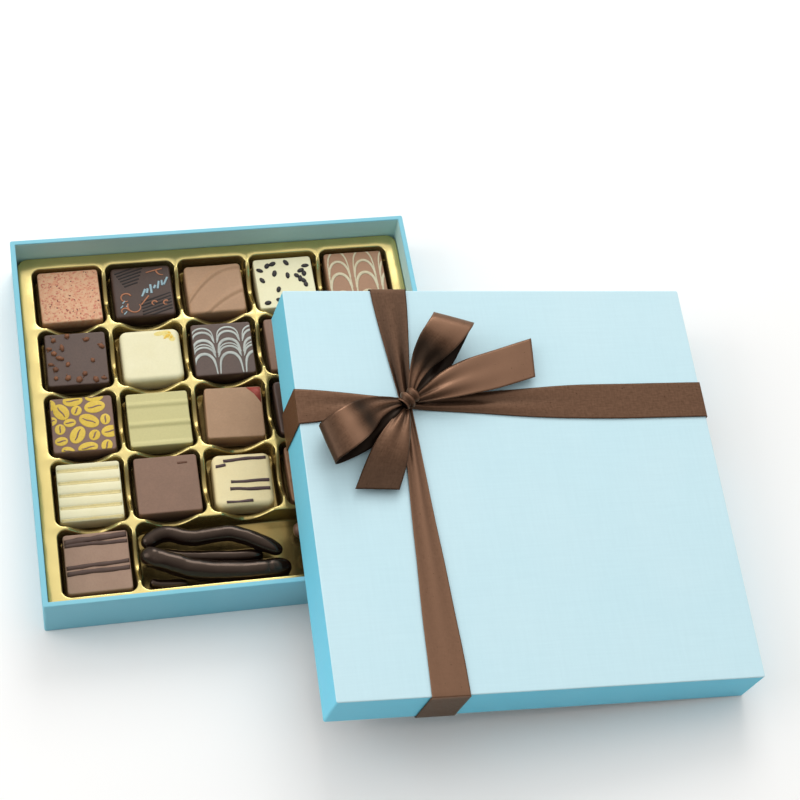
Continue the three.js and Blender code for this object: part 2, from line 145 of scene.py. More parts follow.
class Finishes(bpy.types.PropertyGroup):
    """Colours of the box, the tray, the ribbon and the chocolate."""
    paper: colour_property("Paper", "Light blue paper on the lid's top", paint(201, 233, 243))
    # Painted shade: the base's paper, also used inside the lid, is a deeper blue than the lid's top, for
    # walls out of the light
    paper_shaded: colour_property("Wall paper", "The base's paper on upright walls", paint(130, 198, 216))
    # Painted shade: the lid's upright walls are a deeper blue than its top, for walls turned from the light
    paper_lid: colour_property("Lid wall paper", "The lid's paper on upright walls", paint(118, 214, 241))
    paper_inside: colour_property("Inside paper", "Inner walls, lit by the gold", paint(190, 226, 226))
    gold: colour_property("Gold", "Metallised tray", paint(212, 194, 130))
    satin: colour_property("Satin", "Brown ribbon", paint(88, 62, 46))
    # Painted shade: a near-black satin on the bow's other face, for the shade inside the loops
    satin_painted_shade: colour_property("Satin inside", "The ribbon's own shaded inner side", paint(20, 12, 8))
    dark: colour_property("Dark", "Dark chocolate", paint(82, 61, 52))
    printed_dark: colour_property("Printed dark", "Dark chocolate under the print", paint(66, 47, 38))
    milk: colour_property("Milk", "Milk chocolate", paint(130, 100, 82))
    light_milk: colour_property("Light milk", "Light milk chocolate", paint(167, 131, 100))
    pale_milk: colour_property("Pale milk", "Pale milk chocolate", paint(160, 120, 92))
    striped_milk: colour_property("Striped milk", "Milk chocolate under stripes", paint(152, 122, 103))
    ivory: colour_property("Ivory", "White chocolate", paint(228, 221, 182))
    ivory_warm: colour_property("Warm ivory", "White chocolate under the drizzle", paint(234, 216, 166))
    rose: colour_property("Rose", "Sprayed rose chocolate", paint(214, 170, 134))
    pistachio: colour_property("Pistachio", "Green pistachio chocolate", paint(200, 192, 136))
    mauve: colour_property("Mauve", "Ground under the printed beans", paint(126, 98, 86))
    peel: colour_property("Peel", "Glossy coating of the peel sticks", paint(20, 11, 8))


# Meshes

class Shape:
    """The points and faces of one piece, gathered in millimetres."""

    def __init__(self):
        self.points = []
        self.faces = []
        self.slots = []

    def add_points(self, points):
        """Adds points and gives their numbers."""
        first = len(self.points)
        self.points.extend(Vector(point) for point in points)
        return list(range(first, len(self.points)))

    def add_faces(self, faces, slot=0):
        """Adds faces in one material slot."""
        self.faces.extend(faces)
        self.slots.extend([slot] * len(faces))

    def bridge(self, first, second, closed=True, slot=0):
        """Quads between two rows of points."""
        count = len(first)
        last = count if closed else count - 1
        quads = [(first[i], first[(i + 1) % count], second[(i + 1) % count], second[i])
                 for i in range(last)]
        self.add_faces(quads, slot)

    def loft(self, rings, closed=True, slot=0):
        """Rings of points joined one after another, with the first and last rings' numbers given back."""
        numbers = [self.add_points(ring) for ring in rings]
        for first, second in zip(numbers, numbers[1:]):
            self.bridge(first, second, closed, slot)
        return numbers

    def absorb(self, mesh, slot):
        """Takes over a mesh that is already in millimetres, and removes it."""
        first = len(self.points)
        self.points.extend(vertex.co.copy() for vertex in mesh.vertices)
        self.add_faces([tuple(first + v for v in face.vertices) for face in mesh.polygons], slot)
        bpy.data.meshes.remove(mesh)


def add_object(name, data):
    """A new object in the scene."""
    item = bpy.data.objects.new(name, data)
    bpy.context.scene.collection.objects.link(item)
    return item


def square_mesh(name, half):
    """One level square with the given half side."""
    mesh = bpy.data.meshes.new(name)
    corners = [(-half, -half, 0), (half, -half, 0), (half, half, 0), (-half, half, 0)]
    mesh.from_pydata(corners, [], [(0, 1, 2, 3)])
    return mesh


def make_piece(name, shape, materials, place=None, merge=0.0):
    """A smooth-shaded object in metres at the origin, with its place in its mesh."""
    mesh = bpy.data.meshes.new(name)
    mesh.from_pydata([tuple(point) for point in shape.points], [], shape.faces)
    mesh.polygons.foreach_set("material_index", shape.slots)
    work = bmesh.new()
    work.from_mesh(mesh)
    if merge:
        bmesh.ops.remove_doubles(work, verts=work.verts, dist=merge)
    bmesh.ops.recalc_face_normals(work, faces=work.faces)
    for face in work.faces:
        face.smooth = True
    work.to_mesh(mesh)
    work.free()
    mesh.transform(Matrix.Scale(MM, 4) @ (place or Matrix()))
    for material in materials:
        mesh.materials.append(material)
    return add_object(name, mesh)


def rounded_point(x, y, half_x, half_y, radius):
    """Moves a point of a rectangle's outline onto the outline with rounded corners."""
    over_x = abs(x) - (half_x - radius)
    over_y = abs(y) - (half_y - radius)
    if radius <= 0 or over_x <= 0 or over_y <= 0:
        return x, y
    eighth = math.pi / 4
    angle = eighth * over_y / radius
    if over_x < over_y:
        angle = 2 * eighth - eighth * over_x / radius
    return (math.copysign(half_x - radius + radius * math.cos(angle), x),
            math.copysign(half_y - radius + radius * math.sin(angle), y))


# Cosine and sine of no turn and of one, two and three quarter turns
QUARTER_TURNS = [(1, 0), (0, 1), (-1, 0), (0, -1)]


def square_loop(half, radius, z):
    """A square ring with rounded corners, and a point close to each corner that keeps the sides flat."""
    support = 0.4
    arc = 4
    straight = half - radius
    quarter = [(half, -straight), (half, -straight + support), (half, 0.0), (half, straight - support)]
    for step in range(arc):
        angle = math.pi / 2 * step / arc
        quarter.append((straight + radius * math.cos(angle), straight + radius * math.sin(angle)))
    ring = []
    for c, s in QUARTER_TURNS:
        ring.extend(Vector((x * c - y * s, x * s + y * c, z)) for x, y in quarter)
    return ring


def smooth_step(edge_low, edge_high, value):
    """0 below the first edge, 1 above the second, and a soft rise between them."""
    share = min(1.0, max(0.0, (value - edge_low) / (edge_high - edge_low)))
    return share * share * (3 - 2 * share)


def spline(values, share):
    """A smooth curve through evenly spaced values, each a tuple, at a share from 0 to 1."""
    spans = len(values) - 1
    place = min(max(share, 0.0), 1.0) * spans
    index = min(int(place), spans - 1)
    t = place - index
    before = values[max(index - 1, 0)]
    start, end = values[index], values[index + 1]
    after = values[min(index + 2, spans)]
    result = []
    for a, b, c, d in zip(before, start, end, after):
        result.append(0.5 * (2 * b + (c - a) * t + (2 * a - 5 * b + 4 * c - d) * t * t
                             + (3 * b - a - 3 * c + d) * t ** 3))
    return result


def wobble(x, y, z, period, seed=0.0):
    """Smooth repeatable noise from -1 to 1 with a period in millimetres."""
    return noise.noise(Vector((x / period + seed, y / period - seed, z / period + 2 * seed)))


# Node trees

def socket_named(sockets, key):
    """A socket by its identifier or its name."""
    for socket in sockets:
        if socket.identifier == key:
            return socket
    for socket in sockets:
        if socket.name == key:
            return socket
    raise KeyError(key)


def feed(tree, socket, value):
    """Joins an input to another node's socket, or gives it a value."""
    if isinstance(value, bpy.types.NodeSocket):
        tree.links.new(value, socket)
    else:
        socket.default_value = value


def add_node(tree, kind, inputs=None, **settings):
    """A node with its settings and its inputs."""
    node = tree.nodes.new(kind)
    for name, value in settings.items():
        setattr(node, name, value)
    for key, value in (inputs or {}).items():
        feed(tree, socket_named(node.inputs, key), value)
    return node


def calculate(tree, operation, *values):
    """The result of one step of arithmetic on sockets or numbers."""
    node = add_node(tree, "ShaderNodeMath", operation=operation)
    for socket, value in zip(node.inputs, values):
        feed(tree, socket, value)
    return node.outputs[0]


def new_tree(name, kind, inputs, outputs):
    """A node group with named sockets, its input node's sockets by name, and its output node."""
    tree = bpy.data.node_groups.new(name, kind)
    for label, socket_type, default in inputs:
        socket = tree.interface.new_socket(name=label, in_out="INPUT", socket_type=socket_type)
        if default is not None:
            socket.default_value = default
    for label, socket_type in outputs:
        tree.interface.new_socket(name=label, in_out="OUTPUT", socket_type=socket_type)
    given = tree.nodes.new("NodeGroupInput")
    result = tree.nodes.new("NodeGroupOutput")
    return tree, {socket.name: socket for socket in given.outputs if socket.name}, result


def join(tree, result, sockets):
    """Joins sockets to a group's outputs by name."""
    for name, socket in sockets.items():
        tree.links.new(socket, socket_named(result.inputs, name))


def existing(name):
    """A node group that is already built, or nothing."""
    return bpy.data.node_groups.get(name)


def attribute_of(tree, name, data_type):
    """A named attribute of the geometry."""
    node = add_node(tree, "GeometryNodeInputNamedAttribute", {"Name": name}, data_type=data_type)
    return node.outputs["Attribute"]


# Geometry trees: grains on points, piped lines along paths, specks strewn on a surface

def finish_tree(tree, given, result, geometry, smooth=True):
    """Ends a geometry tree: real instances, their shading and their material."""
    real = add_node(tree, "GeometryNodeRealizeInstances", {"Geometry": geometry})
    shaded = add_node(tree, "GeometryNodeSetShadeSmooth", {
        "Geometry": real.outputs[0], "Shade Smooth": smooth,
    })
    dressed = add_node(tree, "GeometryNodeSetMaterial", {
        "Geometry": shaded.outputs[0], "Material": given["Material"],
    })
    join(tree, result, {"Geometry": dressed.outputs[0]})
    return tree


def grain_tree():
    """Lays one rounded grain on each point, sized and turned by the point's own attributes."""
    if existing("Lay grains"):
        return existing("Lay grains")
    tree, given, result = new_tree("Lay grains", "GeometryNodeTree", [
        ("Points", "NodeSocketGeometry", None),
        ("Roundness", "NodeSocketInt", 2),
        ("Unevenness", "NodeSocketFloat", 0.1),
        ("Seed", "NodeSocketInt", 1),
        ("Smooth", "NodeSocketBool", True),
        ("Material", "NodeSocketMaterial", None),
    ], [("Geometry", "NodeSocketGeometry")])
    grain = add_node(tree, "GeometryNodeMeshIcoSphere", {"Radius": 0.5, "Subdivisions": given["Roundness"]})
    turn = attribute_of(tree, "turn", "FLOAT_VECTOR")
    size = attribute_of(tree, "size", "FLOAT_VECTOR")
    low = calculate(tree, "SUBTRACT", 1.0, given["Unevenness"])
    high = calculate(tree, "ADD", 1.0, given["Unevenness"])
    vary = add_node(tree, "FunctionNodeRandomValue", {
        "Min_001": low, "Max_001": high, "Seed": given["Seed"],
    }, data_type="FLOAT")
    scaled = add_node(tree, "ShaderNodeVectorMath", {
        "Vector": size, "Scale": socket_named(vary.outputs, "Value_001"),
    }, operation="SCALE")
    laid = add_node(tree, "GeometryNodeInstanceOnPoints", {
        "Points": given["Points"], "Instance": grain.outputs["Mesh"],
        "Rotation": turn, "Scale": scaled.outputs[0],
    })
    return finish_tree(tree, given, result, laid.outputs[0], given["Smooth"])


def pipe_tree():
    """Pipes a flattened line along each path, as broad as the path's own attribute says."""
    if existing("Pipe lines"):
        return existing("Pipe lines")
    tree, given, result = new_tree("Pipe lines", "GeometryNodeTree", [
        ("Paths", "NodeSocketGeometry", None),
        ("Sides", "NodeSocketInt", 8),
        ("Flatness", "NodeSocketFloat", 0.35),
        ("Material", "NodeSocketMaterial", None),
    ], [("Geometry", "NodeSocketGeometry")])
    curves = add_node(tree, "GeometryNodeMeshToCurve", {"Mesh": given["Paths"]})
    breadth = attribute_of(tree, "breadth", "FLOAT")
    circle = add_node(tree, "GeometryNodeCurvePrimitiveCircle", {
        "Resolution": given["Sides"], "Radius": 0.5,
    })
    piped = add_node(tree, "GeometryNodeCurveToMesh", {
        "Curve": curves.outputs[0], "Profile Curve": circle.outputs["Curve"],
        "Scale": breadth, "Fill Caps": True,
    })
    ratio = add_node(tree, "ShaderNodeCombineXYZ", {"X": 1.0, "Y": 1.0, "Z": given["Flatness"]})
    pressed = add_node(tree, "GeometryNodeTransform", {
        "Geometry": piped.outputs[0], "Scale": ratio.outputs[0],
    })
    return finish_tree(tree, given, result, pressed.outputs[0])


def speck_tree():
    """Strews small flat specks over a surface."""
    if existing("Strew specks"):
        return existing("Strew specks")
    tree, given, result = new_tree("Strew specks", "GeometryNodeTree", [
        ("Surface", "NodeSocketGeometry", None),
        ("Density", "NodeSocketFloat", 0.1),
        ("Smallest", "NodeSocketVector", (0.3, 0.3, 0.08)),
        ("Largest", "NodeSocketVector", (0.8, 0.6, 0.14)),
        ("Seed", "NodeSocketInt", 1),
        ("Material", "NodeSocketMaterial", None),
    ], [("Geometry", "NodeSocketGeometry")])
    spread = add_node(tree, "GeometryNodeDistributePointsOnFaces", {
        "Mesh": given["Surface"], "Density": given["Density"], "Seed": given["Seed"],
    }, distribute_method="RANDOM")
    speck = add_node(tree, "GeometryNodeMeshIcoSphere", {"Radius": 0.5, "Subdivisions": 2})
    turn = add_node(tree, "FunctionNodeRandomValue", {
        "Min": (0.0, 0.0, 0.0), "Max": (0.0, 0.0, 2 * math.pi), "Seed": given["Seed"],
    }, data_type="FLOAT_VECTOR")
    size = add_node(tree, "FunctionNodeRandomValue", {
        "Min": given["Smallest"], "Max": given["Largest"], "Seed": given["Seed"],
    }, data_type="FLOAT_VECTOR")
    laid = add_node(tree, "GeometryNodeInstanceOnPoints", {
        "Points": spread.outputs["Points"], "Instance": speck.outputs["Mesh"],
        "Rotation": socket_named(turn.outputs, "Value"), "Scale": socket_named(size.outputs, "Value"),
    })
    return finish_tree(tree, given, result, laid.outputs[0])


def grow(tree, source, inputs):
    """Runs a geometry tree on a mesh and gives back the plain mesh that it makes."""
    carrier = add_object("carrier", source)
    modifier = carrier.modifiers.new("grow", "NODES")
    modifier.node_group = tree
    for item in tree.interface.items_tree:
        if item.item_type == "SOCKET" and item.in_out == "INPUT" and item.name in inputs:
            modifier[item.identifier] = inputs[item.name]
    evaluated = carrier.evaluated_get(bpy.context.evaluated_depsgraph_get())
    grown = bpy.data.meshes.new_from_object(evaluated)
    bpy.data.objects.remove(carrier)
    bpy.data.meshes.remove(source)
    if not grown.polygons:
        raise RuntimeError(f"{tree.name} made nothing")
    return grown


def clip_square(mesh, half_x, half_y):
    """Cuts away what lies outside a rectangle seen from above, and closes the cuts."""
    work = bmesh.new()
    work.from_mesh(mesh)
    for axis, limit in ((Vector((1, 0, 0)), half_x), (Vector((0, 1, 0)), half_y)):
        for sign in (1, -1):
            everything = work.verts[:] + work.edges[:] + work.faces[:]
            cut = bmesh.ops.bisect_plane(work, geom=everything, plane_co=axis * sign * limit,
                                         plane_no=axis * sign, clear_outer=True)
            rim = [part for part in cut["geom_cut"] if isinstance(part, bmesh.types.BMEdge)]
            if rim:
                bmesh.ops.holes_fill(work, edges=rim)
    work.to_mesh(mesh)
    work.free()
    return mesh


def points_mesh(places, sizes, turns):
    """Bare points with a size and a turn each, for grains to be laid on."""
    mesh = bpy.data.meshes.new("places")
    mesh.from_pydata([tuple(place) for place in places], [], [])
    for name, values in (("size", sizes), ("turn", turns)):
        attribute = mesh.attributes.new(name, "FLOAT_VECTOR", "POINT")
        attribute.data.foreach_set("vector", [number for value in values for number in value])
    return mesh


def paths_mesh(paths):
    """Open paths, each a list of (x, y, breadth), for lines to be piped along."""
    points, edges, breadths = [], [], []
    for path in paths:
        first = len(points)
        points.extend((x, y, 0.0) for x, y, _ in path)
        breadths.extend(breadth for _, _, breadth in path)
        edges.extend((first + i, first + i + 1) for i in range(len(path) - 1))
    mesh = bpy.data.meshes.new("paths")
    mesh.from_pydata(points, edges, [])
    mesh.attributes.new("breadth", "FLOAT", "POINT").data.foreach_set("value", breadths)
    return mesh


def lay_grains(places, sizes, turns, material, seed, roundness=2, unevenness=0.1, even=True):
    """Grains at (x, y) places, with their sizes and turns in radians."""
    source = points_mesh([(x, y, 0.0) for x, y in places], sizes, [(0.0, 0.0, turn) for turn in turns])
    return grow(grain_tree(), source, {
        "Roundness": roundness, "Unevenness": unevenness, "Seed": seed, "Smooth": even, "Material": material,
    })


def pipe_lines(paths, material, flatness=0.35, sides=8):
    """Flattened lines piped along paths."""
    return grow(pipe_tree(), paths_mesh(paths), {
        "Sides": sides, "Flatness": flatness, "Material": material,
    })


def strew_specks(half, density, smallest, largest, material, seed):
    """Specks strewn over a square of the given half side."""
    return grow(speck_tree(), square_mesh("field", half), {
        "Density": density, "Smallest": smallest, "Largest": largest, "Seed": seed, "Material": material,
    })


# Shader groups

# Heights in millimetres between which painted shade darkens the food towards its foot and the tray towards
# its floor
FOOT_SHADE_LOW, FOOT_SHADE_HIGH = 6.0, 10.5
GOLD_SHADE_LOW, GOLD_SHADE_HIGH = 3.5, 11.2
BLACK = (0.0, 0.0, 0.0, 1.0)
WHITE = (1.0, 1.0, 1.0, 1.0)
SKIN_OUTPUTS = [("Colour", "NodeSocketColor"), ("Roughness", "NodeSocketFloat"),
                ("Height", "NodeSocketFloat")]


def object_point(tree):
    """The shaded point's place on its object."""
    return tree.nodes.new("ShaderNodeTexCoord").outputs["Object"]


def mapped(tree, vector, scale=(1.0, 1.0, 1.0), turn=(0.0, 0.0, 0.0)):
    """A vector stretched and turned."""
    node = add_node(tree, "ShaderNodeMapping", {"Vector": vector, "Scale": scale, "Rotation": turn})
    return node.outputs[0]


def noise_at(tree, vector, scale, detail, roughness=0.5):
    """Noise from 0 to 1 at a place."""
    node = add_node(tree, "ShaderNodeTexNoise", {
        "Vector": vector, "Scale": scale, "Detail": detail, "Roughness": roughness,
    })
    return node.outputs["Fac"]


def mix_colours(tree, share, first, second):
    """A colour between two colours."""
    node = add_node(tree, "ShaderNodeMix", {"Factor_Float": share, "A_Color": first, "B_Color": second},
                    data_type="RGBA")
    return socket_named(node.outputs, "Result_Color")


def remap(tree, value, low, high, new_low, new_high):
    """A value moved from one range to another and held inside it."""
    return add_node(tree, "ShaderNodeMapRange", {
        "Value": value, "From Min": low, "From Max": high, "To Min": new_low, "To Max": new_high,
    }).outputs[0]


def by_height(tree, low, high, at_low, at_high):
    """A value that changes between two heights, which are given in millimetres."""
    parts = add_node(tree, "ShaderNodeSeparateXYZ", {"Vector": object_point(tree)})
    return remap(tree, parts.outputs["Z"], low * MM, high * MM, at_low, at_high)


def chocolate_group():
    """Chocolate skin: cloudy tone, fine grain, and painted shade darkening its foot."""
    if existing("Chocolate skin"):
        return existing("Chocolate skin")
    tree, given, result = new_tree("Chocolate skin", "ShaderNodeTree", [
        ("Colour", "NodeSocketColor", (0.1, 0.05, 0.03, 1)),
        ("Cloud colour", "NodeSocketColor", (0.2, 0.12, 0.1, 1)),
        ("Cloudiness", "NodeSocketFloat", 0.3),
        ("Grain", "NodeSocketFloat", 0.08),
        ("Roughness", "NodeSocketFloat", 0.4),
        ("Foot colour and shade", "NodeSocketColor", (0.02, 0.01, 0.01, 1)),
        ("Foot shade share", "NodeSocketFloat", 0.6),
    ], SKIN_OUTPUTS)
    cloud = noise_at(tree, object_point(tree), 130.0, 3.0, 0.55)
    fine = noise_at(tree, object_point(tree), 1500.0, 2.0, 0.6)
    cloudy = remap(tree, cloud, 0.35, 0.75, 0.0, 1.0)
    weight = calculate(tree, "MULTIPLY", cloudy, given["Cloudiness"])
    toned = mix_colours(tree, weight, given["Colour"], given["Cloud colour"])
    grainy = remap(tree, fine, 0.3, 0.7, 0.0, 1.0)
    darker = mix_colours(tree, given["Grain"], toned, BLACK)
    grained = mix_colours(tree, grainy, darker, toned)
    # Painted shade darkens the sides towards the foot; on sprayed and printed pralines it is also the plain
    # chocolate under the top
    foot = calculate(tree, "MULTIPLY", by_height(tree, FOOT_SHADE_LOW, FOOT_SHADE_HIGH, 1.0, 0.0), given["Foot shade share"])
    colour = mix_colours(tree, foot, grained, given["Foot colour and shade"])
    rough = calculate(tree, "MULTIPLY_ADD", cloudy, 0.12, given["Roughness"])
    height = calculate(tree, "MULTIPLY_ADD", fine, 0.3, cloud)
    join(tree, result, {"Colour": colour, "Roughness": rough, "Height": height})
    return tree


def paper_group():
    """Laid paper: fine lines both ways and a faint cloudiness."""
    if existing("Laid paper"):
        return existing("Laid paper")
    tree, given, result = new_tree("Laid paper", "ShaderNodeTree", [
        ("Colour", "NodeSocketColor", (0.5, 0.7, 0.8, 1)),
        ("Line depth", "NodeSocketFloat", 0.05),
        ("Turn", "NodeSocketVector", (0, 0, 0)),
    ], SKIN_OUTPUTS)
    turned = mapped(tree, object_point(tree), turn=given["Turn"])
    across = noise_at(tree, mapped(tree, turned, (60.0, 1100.0, 60.0)), 1.0, 2.0)
    along = noise_at(tree, mapped(tree, turned, (900.0, 70.0, 900.0)), 1.0, 2.0)
    lines = calculate(tree, "ADD", across, along)
    darker = mix_colours(tree, given["Line depth"], given["Colour"], (0.05, 0.2, 0.3, 1.0))
    lined = mix_colours(tree, remap(tree, lines, 0.7, 1.3, 0.0, 1.0), darker, given["Colour"])
    cloudy = remap(tree, noise_at(tree, turned, 25.0, 2.0), 0.3, 0.7, 0.0, 0.05)
    colour = mix_colours(tree, cloudy, lined, WHITE)
    rough = remap(tree, lines, 0.6, 1.4, 0.62, 0.8)
    join(tree, result, {"Colour": colour, "Roughness": rough, "Height": lines})
    return tree


def satin_group():
    """Satin weave on the ribbon's own UV map: threads, slubs, and painted light and shade from its own
    attribute.
    """
    if existing("Satin weave"):
        return existing("Satin weave")
    tree, given, result = new_tree("Satin weave", "ShaderNodeTree", [
        ("Colour", "NodeSocketColor", (0.15, 0.08, 0.05, 1)),
        ("Light thread and highlight", "NodeSocketColor", (0.3, 0.2, 0.15, 1)),
        ("Threads", "NodeSocketFloat", 2600.0),
        ("Slubs", "NodeSocketFloat", 0.35),
        ("Painted shade colour", "NodeSocketColor", (0.01, 0.006, 0.004, 1)),
    ], SKIN_OUTPUTS)
    weave = tree.nodes.new("ShaderNodeTexCoord").outputs["UV"]
    threads = add_node(tree, "ShaderNodeTexWave", {
        "Vector": weave, "Scale": given["Threads"], "Distortion": 1.2, "Detail": 1.0,
    }, bands_direction="X")
    slubs = noise_at(tree, mapped(tree, weave, (1150.0, 420.0, 1.0)), 1.0, 3.0)
    streaks = noise_at(tree, mapped(tree, weave, (420.0, 1500.0, 1.0)), 1.0, 2.0)
    both = calculate(tree, "ADD", slubs, streaks)
    share = calculate(tree, "MULTIPLY", remap(tree, both, 0.75, 1.3, 0.0, 1.0), given["Slubs"])
    threaded = mix_colours(tree, share, given["Colour"], given["Light thread and highlight"])
    # The shade attribute is painted light and shade: below zero it mixes in the light thread as a painted
    # highlight, above zero a near-black painted shade
    shade = add_node(tree, "ShaderNodeAttribute", attribute_name="shade").outputs["Fac"]
    lit = mix_colours(tree, remap(tree, shade, -1.0, 0.0, 1.0, 0.0), threaded, given["Light thread and highlight"])
    colour = mix_colours(tree, remap(tree, shade, 0.0, 1.0, 0.0, 0.9), lit, given["Painted shade colour"])
    rough = remap(tree, both, 0.6, 1.4, 0.26, 0.4)
    height = calculate(tree, "MULTIPLY_ADD", threads.outputs["Fac"], 0.4, both)
    join(tree, result, {"Colour": colour, "Roughness": rough, "Height": height})
    return tree


# Materials

def new_material(name):
    """A material with only its shader and its output, and the shader given back."""
    material = bpy.data.materials.new(name)
    material.use_nodes = True
    shader = next(node for node in material.node_tree.nodes if node.type == "BSDF_PRINCIPLED")
    return material, shader


def give_relief(tree, shader, height, strength, distance):
    """Gives a shader a bumpy surface; the distance is in millimetres."""
    bumped = add_node(tree, "ShaderNodeBump", {
        "Strength": strength, "Distance": distance * MM, "Height": height,
    })
    tree.links.new(bumped.outputs[0], shader.inputs["Normal"])


def dress_shader(material, shader, group, inputs, bump, distance):
    """Joins a skin group's colour, roughness and height to the shader."""
    tree = material.node_tree
    skin = add_node(tree, "ShaderNodeGroup", node_tree=group)
    for key, value in inputs.items():
        skin.inputs[key].default_value = value
    tree.links.new(skin.outputs["Colour"], shader.inputs["Base Color"])
    tree.links.new(skin.outputs["Roughness"], shader.inputs["Roughness"])
    give_relief(tree, shader, skin.outputs["Height"], bump, distance)
    return skin


def skin_material(name, group, inputs, bump, distance, shine, tint=WHITE, metallic=0.0):
    """A material that wears a skin group, made once for each name."""
    if bpy.data.materials.get(name):
        return bpy.data.materials[name]
    material, shader = new_material(name)
    dress_shader(material, shader, group, inputs, bump, distance)
    shader.inputs["Specular IOR Level"].default_value = shine
    shader.inputs["Specular Tint"].default_value = tint
    shader.inputs["Metallic"].default_value = metallic
    return material


def chocolate_material(name, colour, cloud, cloudiness, grain, roughness, bump=0.25,
                       foot=(0.012, 0.006, 0.004, 1.0), foot_shade_share=0.75, shine=0.32, tint=WHITE):
    """Tempered chocolate with its cloudy skin and painted shade at its foot."""
    return skin_material(name, chocolate_group(), {
        "Colour": colour, "Cloud colour": cloud, "Cloudiness": cloudiness, "Grain": grain,
        "Roughness": roughness, "Foot colour and shade": foot, "Foot shade share": foot_shade_share,
    }, bump, 0.12, shine, tint)


def speckled_material(name, colour, spot, cloud):
    """Chocolate sprayed with a second colour: soft blotches of two sizes, and painted shade at its foot."""
    material, shader = new_material(name)
    tree = material.node_tree
    skin = dress_shader(material, shader, chocolate_group(), {
        "Colour": colour, "Cloud colour": cloud, "Cloudiness": 0.4, "Grain": 0.1, "Roughness": 0.45,
        "Foot shade share": 0.0,
    }, 0.2, 0.12)
    shader.inputs["Specular IOR Level"].default_value = 0.25
    blotches = noise_at(tree, object_point(tree), 620.0, 4.0, 0.7)
    dots = add_node(tree, "ShaderNodeTexVoronoi", {"Vector": object_point(tree), "Scale": 900.0})
    broad = remap(tree, blotches, 0.46, 0.62, 0.0, 0.85)
    small = remap(tree, dots.outputs["Distance"], 0.18, 0.36, 0.75, 0.0)
    sprayed = mix_colours(tree, calculate(tree, "MAXIMUM", broad, small), skin.outputs["Colour"], spot)
    # Painted shade: darker brown towards the foot, partly the unsprayed chocolate of the sides and partly the
    # pocket's shade
    low = by_height(tree, FOOT_SHADE_LOW, FOOT_SHADE_HIGH, 0.9, 0.0)
    shaded_foot = mix_colours(tree, low, sprayed, paint(70, 48, 30))
    tree.links.new(shaded_foot, shader.inputs["Base Color"])
    return material


def topping_material(name, colour, other, roughness):
    """Seeds, nibs, and printed or piped lines: one colour broken by another."""
    return skin_material(name, chocolate_group(), {
        "Colour": colour, "Cloud colour": other, "Cloudiness": 0.7, "Grain": 0.15, "Roughness": roughness,
        "Foot shade share": 0.0,
    }, 0.3, 0.1, 0.3)


def paper_material(name, colour, turn=(0.0, 0.0, 0.0)):
    """Laid paper pasted over board, its lines turned with the board."""
    inputs = {"Colour": colour, "Line depth": 0.04, "Turn": turn}
    return skin_material(name, paper_group(), inputs, 0.2, 0.05, 0.25)


def gold_material(colour):
    """Metallised plastic film, drawn thin: a soft change of tone, shallow waves, and painted shade towards
    the pocket floors.
    """
    material, shader = new_material("gold_film")
    tree = material.node_tree
    shader.inputs["Metallic"].default_value = 0.86
    soft = noise_at(tree, object_point(tree), 60.0, 1.0)
    fine = noise_at(tree, object_point(tree), 420.0, 1.0)
    deeper = (colour[0] * 0.88, colour[1] * 0.84, colour[2] * 0.72, 1.0)
    toned = mix_colours(tree, remap(tree, soft, 0.3, 0.7, 0.0, 0.3), tuple(colour), deeper)
    # Painted shade: the film darkens to brown towards the pocket floors, for the shade and the chocolates'
    # reflection in the pockets
    low = by_height(tree, GOLD_SHADE_LOW, GOLD_SHADE_HIGH, 0.72, 0.0)
    tree.links.new(mix_colours(tree, low, toned, paint(96, 66, 18)), shader.inputs["Base Color"])
    tree.links.new(remap(tree, fine, 0.3, 0.7, 0.19, 0.24), shader.inputs["Roughness"])
    give_relief(tree, shader, soft, 0.6, 1.1)
    return material


def satin_material(name, colour, shine, metallic):
    """Brown satin with a soft warm shine."""
    # The light thread colour serves both the slubs and the painted highlight
    light = (colour[0] * 2.3, colour[1] * 2.5, colour[2] * 2.7, 1.0)
    inputs = {"Colour": tuple(colour), "Light thread and highlight": light}
    tint = (1.0, 0.74, 0.55, 1.0)
    return skin_material(name, satin_group(), inputs, 0.2, 0.05, shine, tint, metallic)


# The lid's lean

def lid_place(side, board):
    """The matrix that leans the lid on the base's front and right walls and on the ground."""
    across = Vector((math.cos(LID_TURN), math.sin(LID_TURN), 0))
    half = side / 2
    wall_middle = half - board / 2
    base_wall = BASE_SIDE / 2 - board / 2
    up = Vector((0, 0, 1))
    centre = Vector((LID_X, LID_Y, 0))
    for _ in range(6):
        right = (across - up * across.dot(up)).normalized()
        back = up.cross(right)
        on_front = centre - right * wall_middle
        on_front += back * ((-base_wall - on_front.y) / back.y)
        on_front.z = BASE_HEIGHT + REST_GAP
        on_right = centre + back * wall_middle
        on_right += right * ((base_wall - on_right.x) / right.x)
        on_right.z = BASE_HEIGHT + REST_GAP
        on_ground = centre + right * half - back * half
        on_ground.z = GROUND_GAP
        up = (on_ground - on_front).cross(on_right - on_front).normalized()
        centre.z = on_front.z - ((LID_X - on_front.x) * up.x + (LID_Y - on_front.y) * up.y) / up.z
    place = Matrix((right, back, up)).transposed().to_4x4()
    place.translation = centre
    return place


# Box boards

